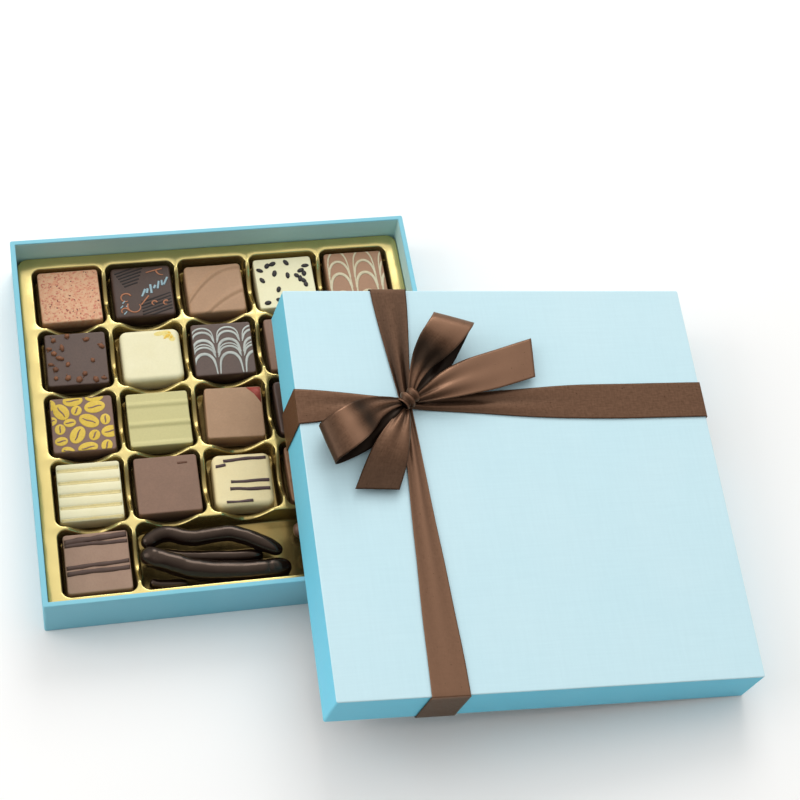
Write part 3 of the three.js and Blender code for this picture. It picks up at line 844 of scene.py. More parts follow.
def board_shape(side, board, height, floor, corner, edge):
    """A paper-covered box, open at the top: slot 0 outer walls, 1 level faces and rim, 2 inner walls."""
    half = side / 2
    shape = Shape()
    inside = half - board
    inner_corner = 0.25

    def outer(offset, z):
        return square_loop(half - offset, max(corner - offset, 0.05), z)

    def inner(offset, z):
        return square_loop(inside + offset, inner_corner + offset, z)

    quarter = [math.pi / 2 * step / 4 for step in range(5)]
    under = [outer(edge + 0.5, 0.0)]
    under += [outer(edge * (1 - math.sin(a)), edge * (1 - math.cos(a))) for a in quarter]
    wall = [outer(0, edge + 0.5), outer(0, height / 2), outer(0, height - edge - 0.5)]
    rim = [outer(edge * (1 - math.cos(a)), height - edge * (1 - math.sin(a))) for a in quarter]
    rim += [outer(edge + 0.15, height), inner(edge + 0.15, height)]
    rim += [inner(edge * (1 - math.sin(a)), height - edge * (1 - math.cos(a))) for a in quarter]
    well = [inner(0, height - edge - 0.5), inner(0, height / 2), inner(0, floor + 0.5), inner(0, floor)]
    bottom = [inner(-0.5, floor)]
    first = shape.loft(under, slot=1)
    shape.add_faces([tuple(first[0])], 1)
    shape.loft([under[-1]] + wall + [rim[0]], slot=0)
    shape.loft(rim, slot=1)
    shape.loft([rim[-1]] + well, slot=2)
    floors = shape.loft([well[-1]] + bottom, slot=1)
    shape.add_faces([tuple(floors[-1])], 1)
    return shape


# The tray

def notch_dip(offset):
    """How far a web between two cells dips at an offset from its middle."""
    share = max(0.0, 1 - (offset / NOTCH_HALF) ** 2)
    return NOTCH_DEPTH * share ** 1.3


def single_side(dipped):
    """Offsets along a cell's side, each with its dip."""
    steps = 16
    offsets = [NOTCH_HALF * (2 * i / steps - 1) for i in range(steps + 1)]
    return [(offset, notch_dip(offset) if dipped else 0.0) for offset in offsets]


LEG_STEPS = 4
LEG_START = POCKET_HALF - POCKET_CORNER


def leg_offsets():
    """Offsets from a cell's straight side out to the junction of four cells."""
    reach = PITCH / 2 - LEG_START
    return [LEG_START + reach * step / LEG_STEPS for step in range(LEG_STEPS + 1)]


def long_side(dipped):
    """Offsets along the long cell's side, which passes four single cells."""
    stations = []
    legs = leg_offsets()
    for number in range(4):
        middle = (number - 1.5) * PITCH
        stations.extend((middle + offset, dip) for offset, dip in single_side(dipped))
        if number < 3:
            stations.extend((middle + leg, 0.0) for leg in legs)
            stations.extend((middle + PITCH - leg, 0.0) for leg in reversed(legs[:-1]))
    return stations


def turned_point(x, y, z, quarter, centre):
    """A point turned by a number of quarters and moved to its cell."""
    c, s = QUARTER_TURNS[quarter]
    return centre[0] + (x * c - y * s), centre[1] + (x * s + y * c), z


def cell_rings(centre, half, sides, limits):
    """The rings of one pocket from its floor to the middle of its webs or the tray's edge."""
    # Sides and limits go right, back, left, front; half and reach hold x, then y
    reach = [half[0] - POCKET_CORNER, half[1] - POCKET_CORNER]

    def ring(section):
        points = []
        for number in range(4):
            out, along = (0, 1) if number % 2 == 0 else (1, 0)
            for offset, dip in sides[number]:
                shift, radius, z = section(TRAY_TOP - dip)
                spread = (half[along] + shift - radius) / reach[along]
                points.append(turned_point(half[out] + shift, offset * spread, z, number, centre))
            shift, radius, z = section(TRAY_TOP)
            for step in range(2 * LEG_STEPS + 1):
                angle = math.pi / 2 * step / (2 * LEG_STEPS)
                x = half[out] + shift - radius + radius * math.cos(angle)
                y = half[along] + shift - radius + radius * math.sin(angle)
                points.append(turned_point(x, y, z, number, centre))
        return points

    def wall_section(z):
        share = (z - TRAY_FLOOR) / (TRAY_TOP - TRAY_FLOOR)
        shift = (POCKET_FLOOR_HALF - POCKET_HALF) * (1 - share)
        return shift, POCKET_FLOOR_CORNER + (POCKET_CORNER - POCKET_FLOOR_CORNER) * share, z

    def floor_section(angle, extra=0.0):
        inset = FLOOR_ROUND * (1 - math.sin(angle)) + extra
        z = TRAY_FLOOR + FLOOR_ROUND * (1 - math.cos(angle))
        shift, radius, _ = wall_section(z)
        return shift - inset, max(radius - inset, 0.4), z

    def rim_section(top, angle):
        shift, radius, _ = wall_section(top - RIM_ROUND)
        out = RIM_ROUND * (1 - math.cos(angle))
        return shift + out, radius + out, top - RIM_ROUND * (1 - math.sin(angle))

    rings = [ring(lambda top: floor_section(0, 2.0))]
    for step in range(4):
        rings.append(ring(lambda top, a=math.pi / 6 * step: floor_section(a)))
    foot = TRAY_FLOOR + FLOOR_ROUND
    for share in (0.2, 0.4, 0.6, 0.8, 1.0):
        rings.append(ring(lambda top, f=share: wall_section(foot + f * (top - RIM_ROUND - foot))))
    for step in range(1, 5):
        rings.append(ring(lambda top, a=math.pi / 8 * step: rim_section(top, a)))
    rings.append(border(centre, half, sides, limits))
    return rings


def border(centre, half, sides, limits):
    """The outermost ring of a cell, along the middle of its webs or along the tray's edge."""
    points = []
    for number in range(4):
        out, along = (0, 1) if number % 2 == 0 else (1, 0)
        own, following = limits[number], limits[(number + 1) % 4]
        for offset, dip in sides[number]:
            points.append(turned_point(own, offset, TRAY_TOP - dip, number, centre))
        start = half[along] - POCKET_CORNER
        finish = half[out] - POCKET_CORNER
        outer_corner = own > half[out] + 1 and following > half[along] + 1
        for x, y in corner_path(own, following, start, finish, outer_corner):
            points.append(turned_point(x, y, TRAY_TOP, number, centre))
    return points


def corner_path(own, following, start, finish, outer_corner):
    """Points from the end of one side to the start of the next, round the cell's corner."""
    steps = range(LEG_STEPS + 1)
    if not outer_corner:
        first = [(own, start + (following - start) * step / LEG_STEPS) for step in steps]
        second = [(own + (finish - own) * step / LEG_STEPS, following) for step in steps]
        return first + second[1:]
    first, second = [], []
    half_arc = TRAY_CORNER * math.pi / 4
    for side, straight in ((first, following - TRAY_CORNER - start), (second, own - TRAY_CORNER - finish)):
        for step in steps:
            way = (straight + half_arc) * step / LEG_STEPS
            side.append((min(way, straight), max(0.0, way - straight) / TRAY_CORNER))
    path = [(own - TRAY_CORNER * (1 - math.cos(turn)),
             start + way + TRAY_CORNER * math.sin(turn)) for way, turn in first]
    back = [(finish + way + TRAY_CORNER * math.sin(turn),
             following - TRAY_CORNER * (1 - math.cos(turn))) for way, turn in second]
    return path + list(reversed(back))[1:]


def tray_shape():
    """The whole tray: its cells, its edge and a plain underside."""
    shape = Shape()
    edge = TRAY_SIDE / 2 - RIM_ROUND
    middle = (CELLS + 1) / 2

    def limit(distance):
        return edge - distance if edge - distance < PITCH * 0.9 else PITCH / 2

    for row in range(1, CELLS + 1):
        for column in range(1, (CELLS if row < CELLS else 1) + 1):
            x, y = (column - middle) * PITCH, (middle - row) * PITCH
            limits = [limit(x), limit(y), limit(-x), limit(-y)]
            sides = [single_side(one < PITCH * 0.51) for one in limits]
            add_cell(shape, (x, y), (POCKET_HALF, POCKET_HALF), sides, limits)
    x, y = PITCH / 2, (middle - CELLS) * PITCH
    half = (POCKET_HALF + 1.5 * PITCH, POCKET_HALF)
    limits = [edge - x, PITCH / 2, 2 * PITCH, edge + y]
    sides = [single_side(False), long_side(True), single_side(True), long_side(False)]
    add_cell(shape, (x, y), half, sides, limits)
    return shape


def add_cell(shape, centre, half, sides, limits):
    """One pocket with its floor."""
    rings = cell_rings(centre, half, sides, limits)
    numbers = shape.loft(rings)
    shape.add_faces([tuple(numbers[0])])


def close_tray(piece):
    """Folds the tray's edge down and closes it underneath."""
    work = bmesh.new()
    work.from_mesh(piece.data)
    bmesh.ops.remove_doubles(work, verts=work.verts, dist=0.02 * MM)
    rim = [edge for edge in work.edges if edge.is_boundary]
    out, down = 0.0, 0.0
    steps = [(RIM_ROUND * math.sin(a), RIM_ROUND * (1 - math.cos(a))) for a in
             (math.pi / 8, math.pi / 4, math.pi * 3 / 8, math.pi / 2)]
    steps += [(RIM_ROUND, RIM_ROUND + 0.4), (RIM_ROUND, TRAY_TOP - TRAY_UNDER)]
    half = TRAY_SIDE / 2 - RIM_ROUND
    for new_out, new_down in steps:
        grown = bmesh.ops.extrude_edge_only(work, edges=rim)["geom"]
        verts = [part for part in grown if isinstance(part, bmesh.types.BMVert)]
        factor = (half + new_out) / (half + out)
        for vert in verts:
            vert.co.x *= factor
            vert.co.y *= factor
            vert.co.z -= (new_down - down) * MM
        out, down = new_out, new_down
        rim = [part for part in grown if isinstance(part, bmesh.types.BMEdge)]
    bmesh.ops.contextual_create(work, geom=rim)
    bmesh.ops.recalc_face_normals(work, faces=work.faces)
    for face in work.faces:
        face.smooth = True
    work.to_mesh(piece.data)
    work.free()


# Pralines

FOOT_SPREAD = 0.025
TOP_STEPS = 52
# How many ridges go across a ridged top, and the share of its depth by which they are moved back
RIDGES = 4.6
RIDGE_SHIFT = 0.06


def flat_top(x, y, depth):
    """A level top."""
    return 0.0


def ridged_top(x, y, depth):
    """Round ridges across the top, parted by narrow grooves."""
    period = depth / RIDGES
    phase = ((y - RIDGE_SHIFT * depth) / period + 0.5) % 1.0 - 0.5
    away = (0.5 - abs(phase)) * period
    return -0.6 * math.exp(-(away / 0.75) ** 2) - 0.12 * (0.5 - 0.5 * math.cos(2 * math.pi * phase))


def stepped_top(x, y, depth):
    """Three raised ledges with soft risers across the top."""
    along = y / depth
    # Each ledge's back and front as shares of the depth, and its rise
    ledges = [(0.335, 0.235, 0.5), (-0.035, -0.135, 0.6), (-0.405, -0.62, 0.4)]
    level = -0.6
    for back, front, rise in ledges:
        risen = smooth_step(front - 0.02, front + 0.035, along)
        level += rise * risen * (1 - smooth_step(back - 0.03, back, along))
    return level


def creased_top(x, y, depth):
    """Two soft creases that run up from left to right."""
    first = (y - 4.2) - 0.62 * (x + 2.0) + 0.035 * (x - 1.0) ** 2
    second = (y + 5.0) - 0.78 * (x - 5.0) + 0.02 * x * x
    dent = -0.26 * math.exp(-(first / 0.8) ** 2) - 0.22 * math.exp(-(second / 0.8) ** 2)
    lift = 0.4 * math.exp(-((first - 1.6) / 1.5) ** 2) + 0.36 * math.exp(-((second - 1.6) / 1.5) ** 2)
    return dent + lift


# Each top's height function, edge radius and foot spread
CUTS = {
    "cut": (flat_top, 0.5, FOOT_SPREAD),
    "soft": (flat_top, 0.9, FOOT_SPREAD),
    "round": (flat_top, 1.8, FOOT_SPREAD),
    "creased": (creased_top, 0.9, FOOT_SPREAD),
    "ridged": (ridged_top, 0.45, 0.0),
    "stepped": (stepped_top, 0.45, 0.0),
}


def praline_shape(width, depth, cut, seed):
    """A praline standing on z = 0, made from a grid on top and rings down its sides."""
    top, edge, spread = CUTS[cut]
    corner = 0.55 + 1.3 * edge
    height = PRALINE_HEIGHT
    shape = Shape()

    def settle(x, y, z):
        shift = 0.07 * (1 - z / height) + 0.03
        return Vector((x + shift * wobble(x, y, z, 7.0, seed), y + shift * wobble(x, y, z, 6.0, seed + 9),
                       z + 0.03 * wobble(x, y, 0, 9.0, seed + 4)))

    def rim(u, v, inset):
        half_x, half_y = width / 2 - inset, depth / 2 - inset
        return rounded_point(u * half_x, v * half_y, half_x, half_y, max(corner - inset, 0.3))

    grid = []
    for j in range(TOP_STEPS + 1):
        line = []
        for i in range(TOP_STEPS + 1):
            u, v = 2 * i / TOP_STEPS - 1, 2 * j / TOP_STEPS - 1
            reach = max(abs(u), abs(v))
            half_x, half_y = reach * (width / 2 - edge), reach * (depth / 2 - edge)
            radius = max(corner - edge, 0.3) * reach ** 4
            x, y = rounded_point(u * (width / 2 - edge), v * (depth / 2 - edge), half_x, half_y, radius)
            line.append(settle(x, y, height + top(x, y, depth)))
        grid.append(shape.add_points(line))
    for low, high in zip(grid, grid[1:]):
        shape.bridge(low, high, closed=False)
    steps = range(TOP_STEPS)
    marks = [2 * i / TOP_STEPS - 1 for i in steps]
    outline = [(mark * c + s, mark * s - c) for c, s in QUARTER_TURNS for mark in marks]
    boundary = [grid[0][i] for i in steps] + [grid[i][-1] for i in steps]
    boundary += [grid[-1][TOP_STEPS - i] for i in steps] + [grid[TOP_STEPS - i][0] for i in steps]

    def side_ring(inset, z, follow):
        ring = []
        for u, v in outline:
            x, y = rim(u, v, inset)
            level = z + follow * top(x, y, depth)
            grow_out = 1 + spread * (1 - z / height)
            ring.append(settle(x * grow_out, y * grow_out, level))
        return shape.add_points(ring)

    rings = [boundary]
    for step in range(1, 7):
        angle = math.pi / 12 * step
        rings.append(side_ring(edge * (1 - math.sin(angle)), height - edge * (1 - math.cos(angle)), 1.0))
    foot_round = 0.5
    for share in (0.78, 0.55, 0.3):
        rings.append(side_ring(0.0, foot_round + (height - edge - foot_round) * share, share))
    for step in range(4):
        angle = math.pi / 6 * step
        rings.append(side_ring(foot_round * (1 - math.cos(angle)), foot_round * (1 - math.sin(angle)), 0.0))
    for upper, lower in zip(rings, rings[1:]):
        shape.bridge(upper, lower)
    shape.add_faces([tuple(rings[-1])])
    return shape


def on_top(mesh, cut, depth, half_x, half_y, lift):
    """Trims a topping to the praline's top and settles it on its relief."""
    top = CUTS[cut][0]
    clip_square(mesh, half_x, half_y)
    for vertex in mesh.vertices:
        vertex.co.z += PRALINE_HEIGHT + lift + top(vertex.co.x, vertex.co.y, depth)
    return mesh


def path_through(points, steps):
    """A smooth path through (x, y, breadth) points."""
    count = (len(points) - 1) * steps
    return [tuple(spline(points, i / count)) for i in range(count + 1)]


def straight_line(x, y, length, breadth, tilt, waver=0.0, seed=0):
    """A slightly uneven line centred on (x, y), with thin ends."""
    path = []
    steps = 24
    for i in range(steps + 1):
        share = i / steps
        away = (share - 0.5) * length
        bend = waver * wobble(away, y, seed, 6.0)
        thick = breadth * (1 + 0.25 * wobble(away, x, seed, 4.0, 3.0))
        path.append((x + away * math.cos(tilt), y + away * math.sin(tilt) + bend, thick))
    return path


def arch_path(x, y, half, shoulder, foot, breadth):
    """One combed arch: thick at its crown, with thin legs drawn down to the foot."""
    # How far out, how high and how thick the arch is, from its foot up to beside its crown
    crown = [(1.08, foot, 0.3), (1.03, foot + 0.45 * (y - shoulder - foot), 0.42),
             (0.97, y - shoulder, 0.6), (0.82, y - 0.5 * shoulder, 0.8), (0.47, y - 0.13 * shoulder, 0.97)]
    left = [(x - half * out, level, breadth * share) for out, level, share in crown]
    right = [(x + half * out, level, breadth * share) for out, level, share in reversed(crown)]
    return path_through(left + [(x, y, breadth)] + right, 6)


def milk_feathers():
    """Cream arches combed over pale milk chocolate."""
    cream = topping_material("feather_cream", paint(210, 200, 170), paint(196, 180, 144), 0.4)
    # Each row's height on the top, shoulder and breadth
    rows = [(13.2, 7.0, 0.9), (7.9, 6.4, 1.25), (1.8, 6.6, 1.5), (-7.3, 6.2, 1.5), (-13.0, 5.0, 1.2)]
    paths = [arch_path(x, y, 4.35, shoulder, y - 13.5, breadth)
             for x in (-17.9, -7.0, 3.9, 14.8) for y, shoulder, breadth in rows]
    return pipe_lines(paths, cream, 0.18), cream


def dark_feathers():
    """Pale arches combed over dark chocolate."""
    pale = topping_material("feather_pale", paint(194, 200, 194), paint(150, 150, 144), 0.4)
    # Each row's height on the top, shoulder, breadth and foot
    rows = [(10.2, 3.4, 0.8, 4.0), (8.2, 3.8, 1.1, 3.0), (4.4, 4.2, 1.4, -2.0), (2.4, 3.8, 0.7, -3.0),
            (1.0, 3.8, 1.0, -4.0), (-2.1, 5.4, 1.4, -13.0)]
    paths = [arch_path(x, y, 4.4, shoulder, foot, breadth)
             for x in (-8.1, 2.4, 12.9) for y, shoulder, breadth, foot in rows]
    return pipe_lines(paths, pale, 0.16), pale


# Beans on the mauve ground: x, y, length, breadth, turn in degrees
BEANS = [
    (-3.1, 10.8, 8.0, 5.2, 4), (5.4, 11.9, 7.4, 4.4, 0), (-8.0, 6.0, 7.8, 6.0, -62),
    (-2.0, 6.2, 4.6, 4.2, 60), (5.3, 7.4, 8.4, 5.6, 8), (2.6, 1.2, 8.4, 5.8, -28),
    (9.0, 1.4, 5.0, 4.0, 85), (-5.0, 0.9, 5.0, 3.8, 4), (-9.0, -1.8, 4.8, 4.2, 84),
    (-2.4, -4.8, 8.2, 5.8, 62), (4.2, -5.4, 5.0, 4.4, 60), (10.6, -4.2, 7.4, 5.4, 8),
    (-8.9, -7.2, 5.2, 4.0, 8), (1.2, -10.9, 8.0, 5.0, 10), (8.6, -10.4, 5.2, 4.4, 70),
    (-12.2, 9.4, 5.0, 4.6, 80), (-12.3, 2.0, 5.0, 4.0, 20), (-6.6, -11.8, 5.4, 4.0, -20),
]


def bean_print():
    """Yellow beans as raised ovals."""
    yellow = topping_material("bean_yellow", paint(226, 194, 78), paint(210, 174, 58), 0.45)
    places = [(x, y) for x, y, *_ in BEANS]
    sizes = [(length, breadth, 0.22) for _, _, length, breadth, _ in BEANS]
    turns = [math.radians(turn) for *_, turn in BEANS]
    return lay_grains(places, sizes, turns, yellow, 5, 3, 0.0), yellow


def bean_slits(ground):
    """The dark slit along each bean, in the ground's own colour."""
    paths = []
    for x, y, length, breadth, turn in BEANS:
        angle = math.radians(turn)
        reach = length * 0.33
        path = []
        for step in range(9):
            share = step / 4 - 1
            along, side = share * reach, 0.03 * breadth * math.sin(share * math.pi)
            path.append((x + along * math.cos(angle) - side * math.sin(angle),
                         y + along * math.sin(angle) + side * math.cos(angle), 0.78 - 0.4 * share * share))
        paths.append(path)
    return pipe_lines(paths, ground, 0.3, 6)


# Seeds and nibs on their pralines: x, y
SESAME_PLACES = [(-10, 6.6), (-6.6, 8.6), (-4.2, 9.4), (1.6, 9.6), (-4, 4.6), (-9.6, 1.6), (1.4, 3.2),
                 (-3.4, -3.4), (9.4, 7.4), (7.2, 5.2), (8.4, 3.6), (5.2, 2.8), (6.4, 1.2), (7.6, 0.2),
                 (8.4, -1.8), (-3.8, -8.6), (1.6, -9.2), (5.6, -7.6), (9.2, -9.4), (-8.8, -9.6)]


def sesame_seeds():
    """Black sesame seeds, a loose scatter and a cluster near the right edge."""
    black = topping_material("black_sesame", paint(34, 30, 32), paint(60, 54, 54), 0.42)
    draw = random.Random(41)
    count = len(SESAME_PLACES)
    sizes = [(2.8 + 0.6 * draw.random(), 1.7 + 0.4 * draw.random(), 0.9) for _ in range(count)]
    turns = [draw.random() * math.pi for _ in range(count)]
    return lay_grains(SESAME_PLACES, sizes, turns, black, 3, 2, 0.06), black


NIB_PLACES = [(-8.6, 9.2), (4.6, 8.8), (-3, 10.8), (-10.6, 5.2), (-8.8, 3), (-5.4, 5.4), (-6.6, 0.6),
              (-10.4, -2), (-8.6, -4.4), (-3.6, -2.4), (-8.8, -8.6), (-4, -8.8), (0.4, -9.8), (2.8, -7.2),
              (7, -10.2), (10.2, -9.8), (10.4, 5.2), (6.4, -1.2)]


def cocoa_nibs():
    """Roasted nibs, thickest along the left and front edges, with fine crumbs between them."""
    copper = topping_material("roast_nib", paint(142, 92, 62), paint(84, 52, 38), 0.5)
    draw = random.Random(17)
    places, sizes, turns = [], [], []
    for x, y in NIB_PLACES:
        places.append((x, y))
        sizes.append((2.1 + 1.5 * draw.random(), 1.5 + 1.1 * draw.random(), 1.2 + 0.5 * draw.random()))
        turns.append(draw.random() * math.pi)
    for _ in range(26):
        home = NIB_PLACES[int(draw.random() * len(NIB_PLACES))]
        places.append((home[0] + 3.4 * (draw.random() - 0.5), home[1] + 3.4 * (draw.random() - 0.5)))
        sizes.append((0.4 + 0.5 * draw.random(), 0.35 + 0.3 * draw.random(), 0.45))
        turns.append(draw.random() * math.pi)
    return lay_grains(places, sizes, turns, copper, 8, 1, 0.2, False), copper


def striped_lines(name, colour, other, width, seed):
    """Two pairs of piped stripes that lean together."""
    brown = topping_material(name, colour, other, 0.42)
    # Each stripe's x, y, breadth and tilt
    lines = [(0, 9.9, 2.4, 0.07), (0, 7.8, 1.6, 0.0), (0, -1.2, 1.7, 0.05), (0, -3.8, 2.0, 0.03)]
    paths = [straight_line(x, y, width - 0.6, breadth, tilt, 0.35, seed + i)
             for i, (x, y, breadth, tilt) in enumerate(lines)]
    return pipe_lines(paths, brown, 0.4), brown


def drizzle_lines():
    """Loose thin lines of dark chocolate."""
    brown = topping_material("drizzle_brown", paint(84, 62, 62), paint(60, 42, 44), 0.38)
    # Each line's x, y, length, breadth and tilt
    lines = [(1.4, 8.8, 17, 1.5, 0.04), (-8.6, 6.3, 4.6, 1.4, 0.12), (3, -1, 15.8, 1.35, 0.01),
             (2.8, -4.4, 16.6, 1.45, -0.02), (-2.2, -10, 10.4, 1.6, 0.04)]
    paths = [straight_line(x, y, length, breadth, tilt, 0.3, i)
             for i, (x, y, length, breadth, tilt) in enumerate(lines)]
    return pipe_lines(paths, brown, 0.45), brown


def painted_groove_shade(width, depth):
    """Painted shade: a warmer, darker tone along the bottom of each groove of a ridged top."""
    wash = topping_material("painted_groove_shade", paint(224, 207, 146), paint(228, 214, 160), 0.45)
    period = depth / RIDGES
    paths = [straight_line(0, RIDGE_SHIFT * depth + (number + 0.5) * period, width - 1, 1.5, 0, 0, number)
             for number in range(-3, 2)]
    return pipe_lines(paths, wash, 0.12), wash


def dash_line():
    """One short dark dash near the back right edge."""
    brown = topping_material("dash_brown", paint(104, 66, 44), paint(84, 52, 36), 0.4)
    return pipe_lines([straight_line(6.6, 8.9, 3.9, 0.95, 0.03, 0.1, 2)], brown, 0.3), brown


def hairline_strokes():
    """Two groups of slanted dark lines."""
    tone = topping_material("stroke_black", paint(26, 18, 16), paint(36, 27, 24), 0.4)
    paths = []
    for number in range(6):
        drop = 1.5 * number
        paths.append(straight_line(-4.6, 11.2 - drop, 13.0 - 1.4 * number, 0.75, 0.3, 0.1, number))
        paths.append(straight_line(5.0, -3.4 - drop, 13.0, 0.75, 0.3, 0.1, number + 7))
    return pipe_lines(paths, tone, 0.2, 6), tone


# Curls of the print: x, y, radius, start and sweep in radians
CURLS = [(-7.4, -2.8, 2.4, 0.4, 4.8), (-4.0, -7.2, 3.2, 2.6, 4.2), (9.4, 9.4, 3.0, 3.0, 1.6),
         (-8.4, -9.2, 1.8, 0.2, 3.6), (4.0, -6.2, 1.2, 0.2, 4.4), (8.8, -6.4, 1.2, 0.8, 4.4)]


def curl_strokes():
    """Copper curls that tighten and thin out, and two strokes."""
    tone = topping_material("stroke_copper", paint(180, 118, 84), paint(156, 98, 66), 0.4)
    steps = 20
    paths = []
    for x, y, radius, start, sweep in CURLS:
        path = []
        for i in range(steps + 1):
            share = i / steps
            reach, angle = radius * (1 - 0.35 * share), start + sweep * share
            path.append((x + reach * math.cos(angle), y + reach * math.sin(angle), 0.8 - 0.4 * share))
        paths.append(path)
    paths.append(straight_line(5.6, 9.8, 7.0, 0.6, 0.2, 0.2, 21))
    paths.append(straight_line(0.4, -4.4, 5.6, 0.6, 0.9, 0.3, 24))
    return pipe_lines(paths, tone, 0.22, 6), tone


def dash_strokes():
    """A rising row of pale blue dashes, and a few short ones beside the curls."""
    tone = topping_material("stroke_blue", paint(160, 186, 194), paint(124, 152, 164), 0.4)
    paths = []
    for number, tall in enumerate((3.8, 2.2, 4.2, 1.8, 3.8, 2.6, 4.0)):
        x, y = 0.2 + 1.6 * number, -0.8 + 0.85 * number
        paths.append(straight_line(x, y, tall, 1.0, 1.35 + 0.25 * (number % 3 - 1), 0.1, number))
    for x, y, long in ((-8.4, -4.8, 1.6), (-7.2, -6.6, 1.2), (-9.4, -7.0, 1.6), (-8.2, -10.0, 1.8)):
        paths.append(straight_line(x, y, long, 0.55, 0.8, 0.2, int(x)))
    return pipe_lines(paths, tone, 0.24, 6), tone


def colour_patch(name, colour, other, points):
    """A thin printed patch with a plain outline, given in order round it."""
    tone = topping_material(name, colour, other, 0.42)
    mesh = bpy.data.meshes.new(name)
    count = len(points)
    low = [(x, y, -0.2) for x, y in points]
    high = [(x, y, 0.05) for x, y in points]
    faces = [tuple(range(count, 2 * count)), tuple(reversed(range(count)))]
    faces += [(i, (i + 1) % count, count + (i + 1) % count, count + i) for i in range(count)]
    mesh.from_pydata(low + high, [], faces)
    return mesh, tone


# Pralines by cell: node, base colour, cut and turn in degrees
PRALINES = [
    ("praline_11_rose_speckled", "rose_sprayed", "cut", 0.7),
    ("praline_12_dark_printed", "printed_dark", "soft", 0.4),
    ("praline_13_milk_creased", "light_milk", "creased", 0.3),
    ("praline_14_ivory_sesame", "ivory", "cut", 0.6),
    ("praline_15_milk_feathered", "pale_milk", "cut", 0.0),
    ("praline_21_dark_nibs", "dark", "cut", -0.6),
    ("praline_22_ivory_rounded", "ivory", "round", 0.2),
    ("praline_23_dark_feathered", "dark", "cut", -0.6),
    ("praline_24_milk_plain", "milk", "cut", 0.5),
    ("praline_25_ivory_ridged_back", "ivory", "ridged", -0.4),
    ("praline_31_mauve_beans", "mauve", "cut", -0.4),
    ("praline_32_pistachio_stepped", "pistachio", "stepped", -0.3),
    ("praline_33_milk_red_corner", "light_milk", "cut", -2.4),
    ("praline_34_dark_plain", "dark", "soft", 0.6),
    ("praline_35_rose_plain", "rose", "cut", -0.3),
    ("praline_41_ivory_ridged", "ivory", "ridged", -0.4),
    ("praline_42_milk_dashed", "milk", "cut", -0.2),
    ("praline_43_ivory_drizzled", "ivory_warm", "round", -1.6),
    ("praline_44_milk_stepped", "pale_milk", "stepped", 0.4),
    ("praline_45_dark_striped", "dark", "cut", 0.2),
    ("praline_51_milk_striped", "striped_milk", "cut", 0.1),
]


# Each ground's material, cloud colour, cloudiness, grain, roughness and other settings
# The foot colours are painted shade; on the ivory and pistachio grounds they are gold-brown, a painted
# reflection of the tray
GROUNDS = {
    "dark": ("dark_skin", paint(96, 76, 66), 0.5, 0.2, 0.36, {"shine": 0.42}),
    "printed_dark": ("printed_dark", paint(84, 62, 52), 0.5, 0.2, 0.36, {}),
    "milk": ("milk_skin", paint(144, 112, 94), 0.45, 0.12, 0.42, {}),
    "light_milk": ("light_milk_skin", paint(184, 148, 118), 0.45, 0.1, 0.42, {"foot": paint(96, 64, 44)}),
    "pale_milk": ("pale_milk_skin", paint(178, 136, 108), 0.4, 0.1, 0.42, {"foot": paint(80, 52, 38)}),
    "striped_milk": ("striped_milk", paint(168, 138, 118), 0.4, 0.1, 0.42, {"foot": paint(80, 52, 38)}),
    "ivory": ("ivory_skin", paint(240, 234, 202), 0.4, 0.04, 0.4,
              {"foot": paint(150, 124, 60), "foot_shade_share": 0.5}),
    "ivory_warm": ("ivory_warm", paint(240, 226, 184), 0.4, 0.05, 0.42,
                   {"foot": paint(140, 106, 50), "foot_shade_share": 0.6}),
    "pistachio": ("pistachio_skin", paint(200, 192, 136), 0.4, 0.06, 0.4,
                  {"foot": paint(104, 92, 40), "foot_shade_share": 0.6}),
    "mauve": ("mauve_skin", paint(140, 112, 100), 0.45, 0.12, 0.42, {}),
    "rose": ("rose_skin", paint(206, 156, 128), 0.5, 0.08, 0.42, {"foot": paint(90, 60, 40)}),
}


def ground_material(kind, finishes):
    """The base chocolate of a praline, in the finish of the same name."""
    if kind == "rose_sprayed":
        return speckled_material(kind, finishes.rose, paint(204, 140, 108), paint(222, 184, 150))
    name, cloud, cloudiness, grain, roughness, settings = GROUNDS[kind]
    return chocolate_material(name, getattr(finishes, kind), cloud, cloudiness, grain, roughness, **settings)


# Toppings that need nothing else from their praline, each with its lift
PLAIN_TOPPINGS = {
    "dark_printed": [(hairline_strokes, 0.0), (curl_strokes, 0.08), (dash_strokes, 0.08)],
    "ivory_sesame": [(sesame_seeds, 0.1)],
    "milk_feathered": [(milk_feathers, 0.05)],
    "dark_nibs": [(cocoa_nibs, 0.1)],
    "dark_feathered": [(dark_feathers, 0.05)],
    "milk_dashed": [(dash_line, 0.0)],
    "ivory_drizzled": [(drizzle_lines, 0.05)],
}


def rose_specks():
    """Dark and salmon specks, each kind with its own material and lift."""
    pinch = topping_material("rose_speck_dark", paint(96, 58, 48), paint(130, 76, 62), 0.5)
    blush = topping_material("rose_speck_salmon", paint(204, 132, 106), paint(190, 112, 90), 0.5)
    return [(strew_specks(11.8, 0.06, (0.4, 0.4, 0.1), (0.95, 0.75, 0.16), pinch, 5), pinch, 0.0),
            (strew_specks(11.8, 0.5, (0.36, 0.34, 0.06), (1.15, 0.95, 0.1), blush, 8), blush, 0.0)]


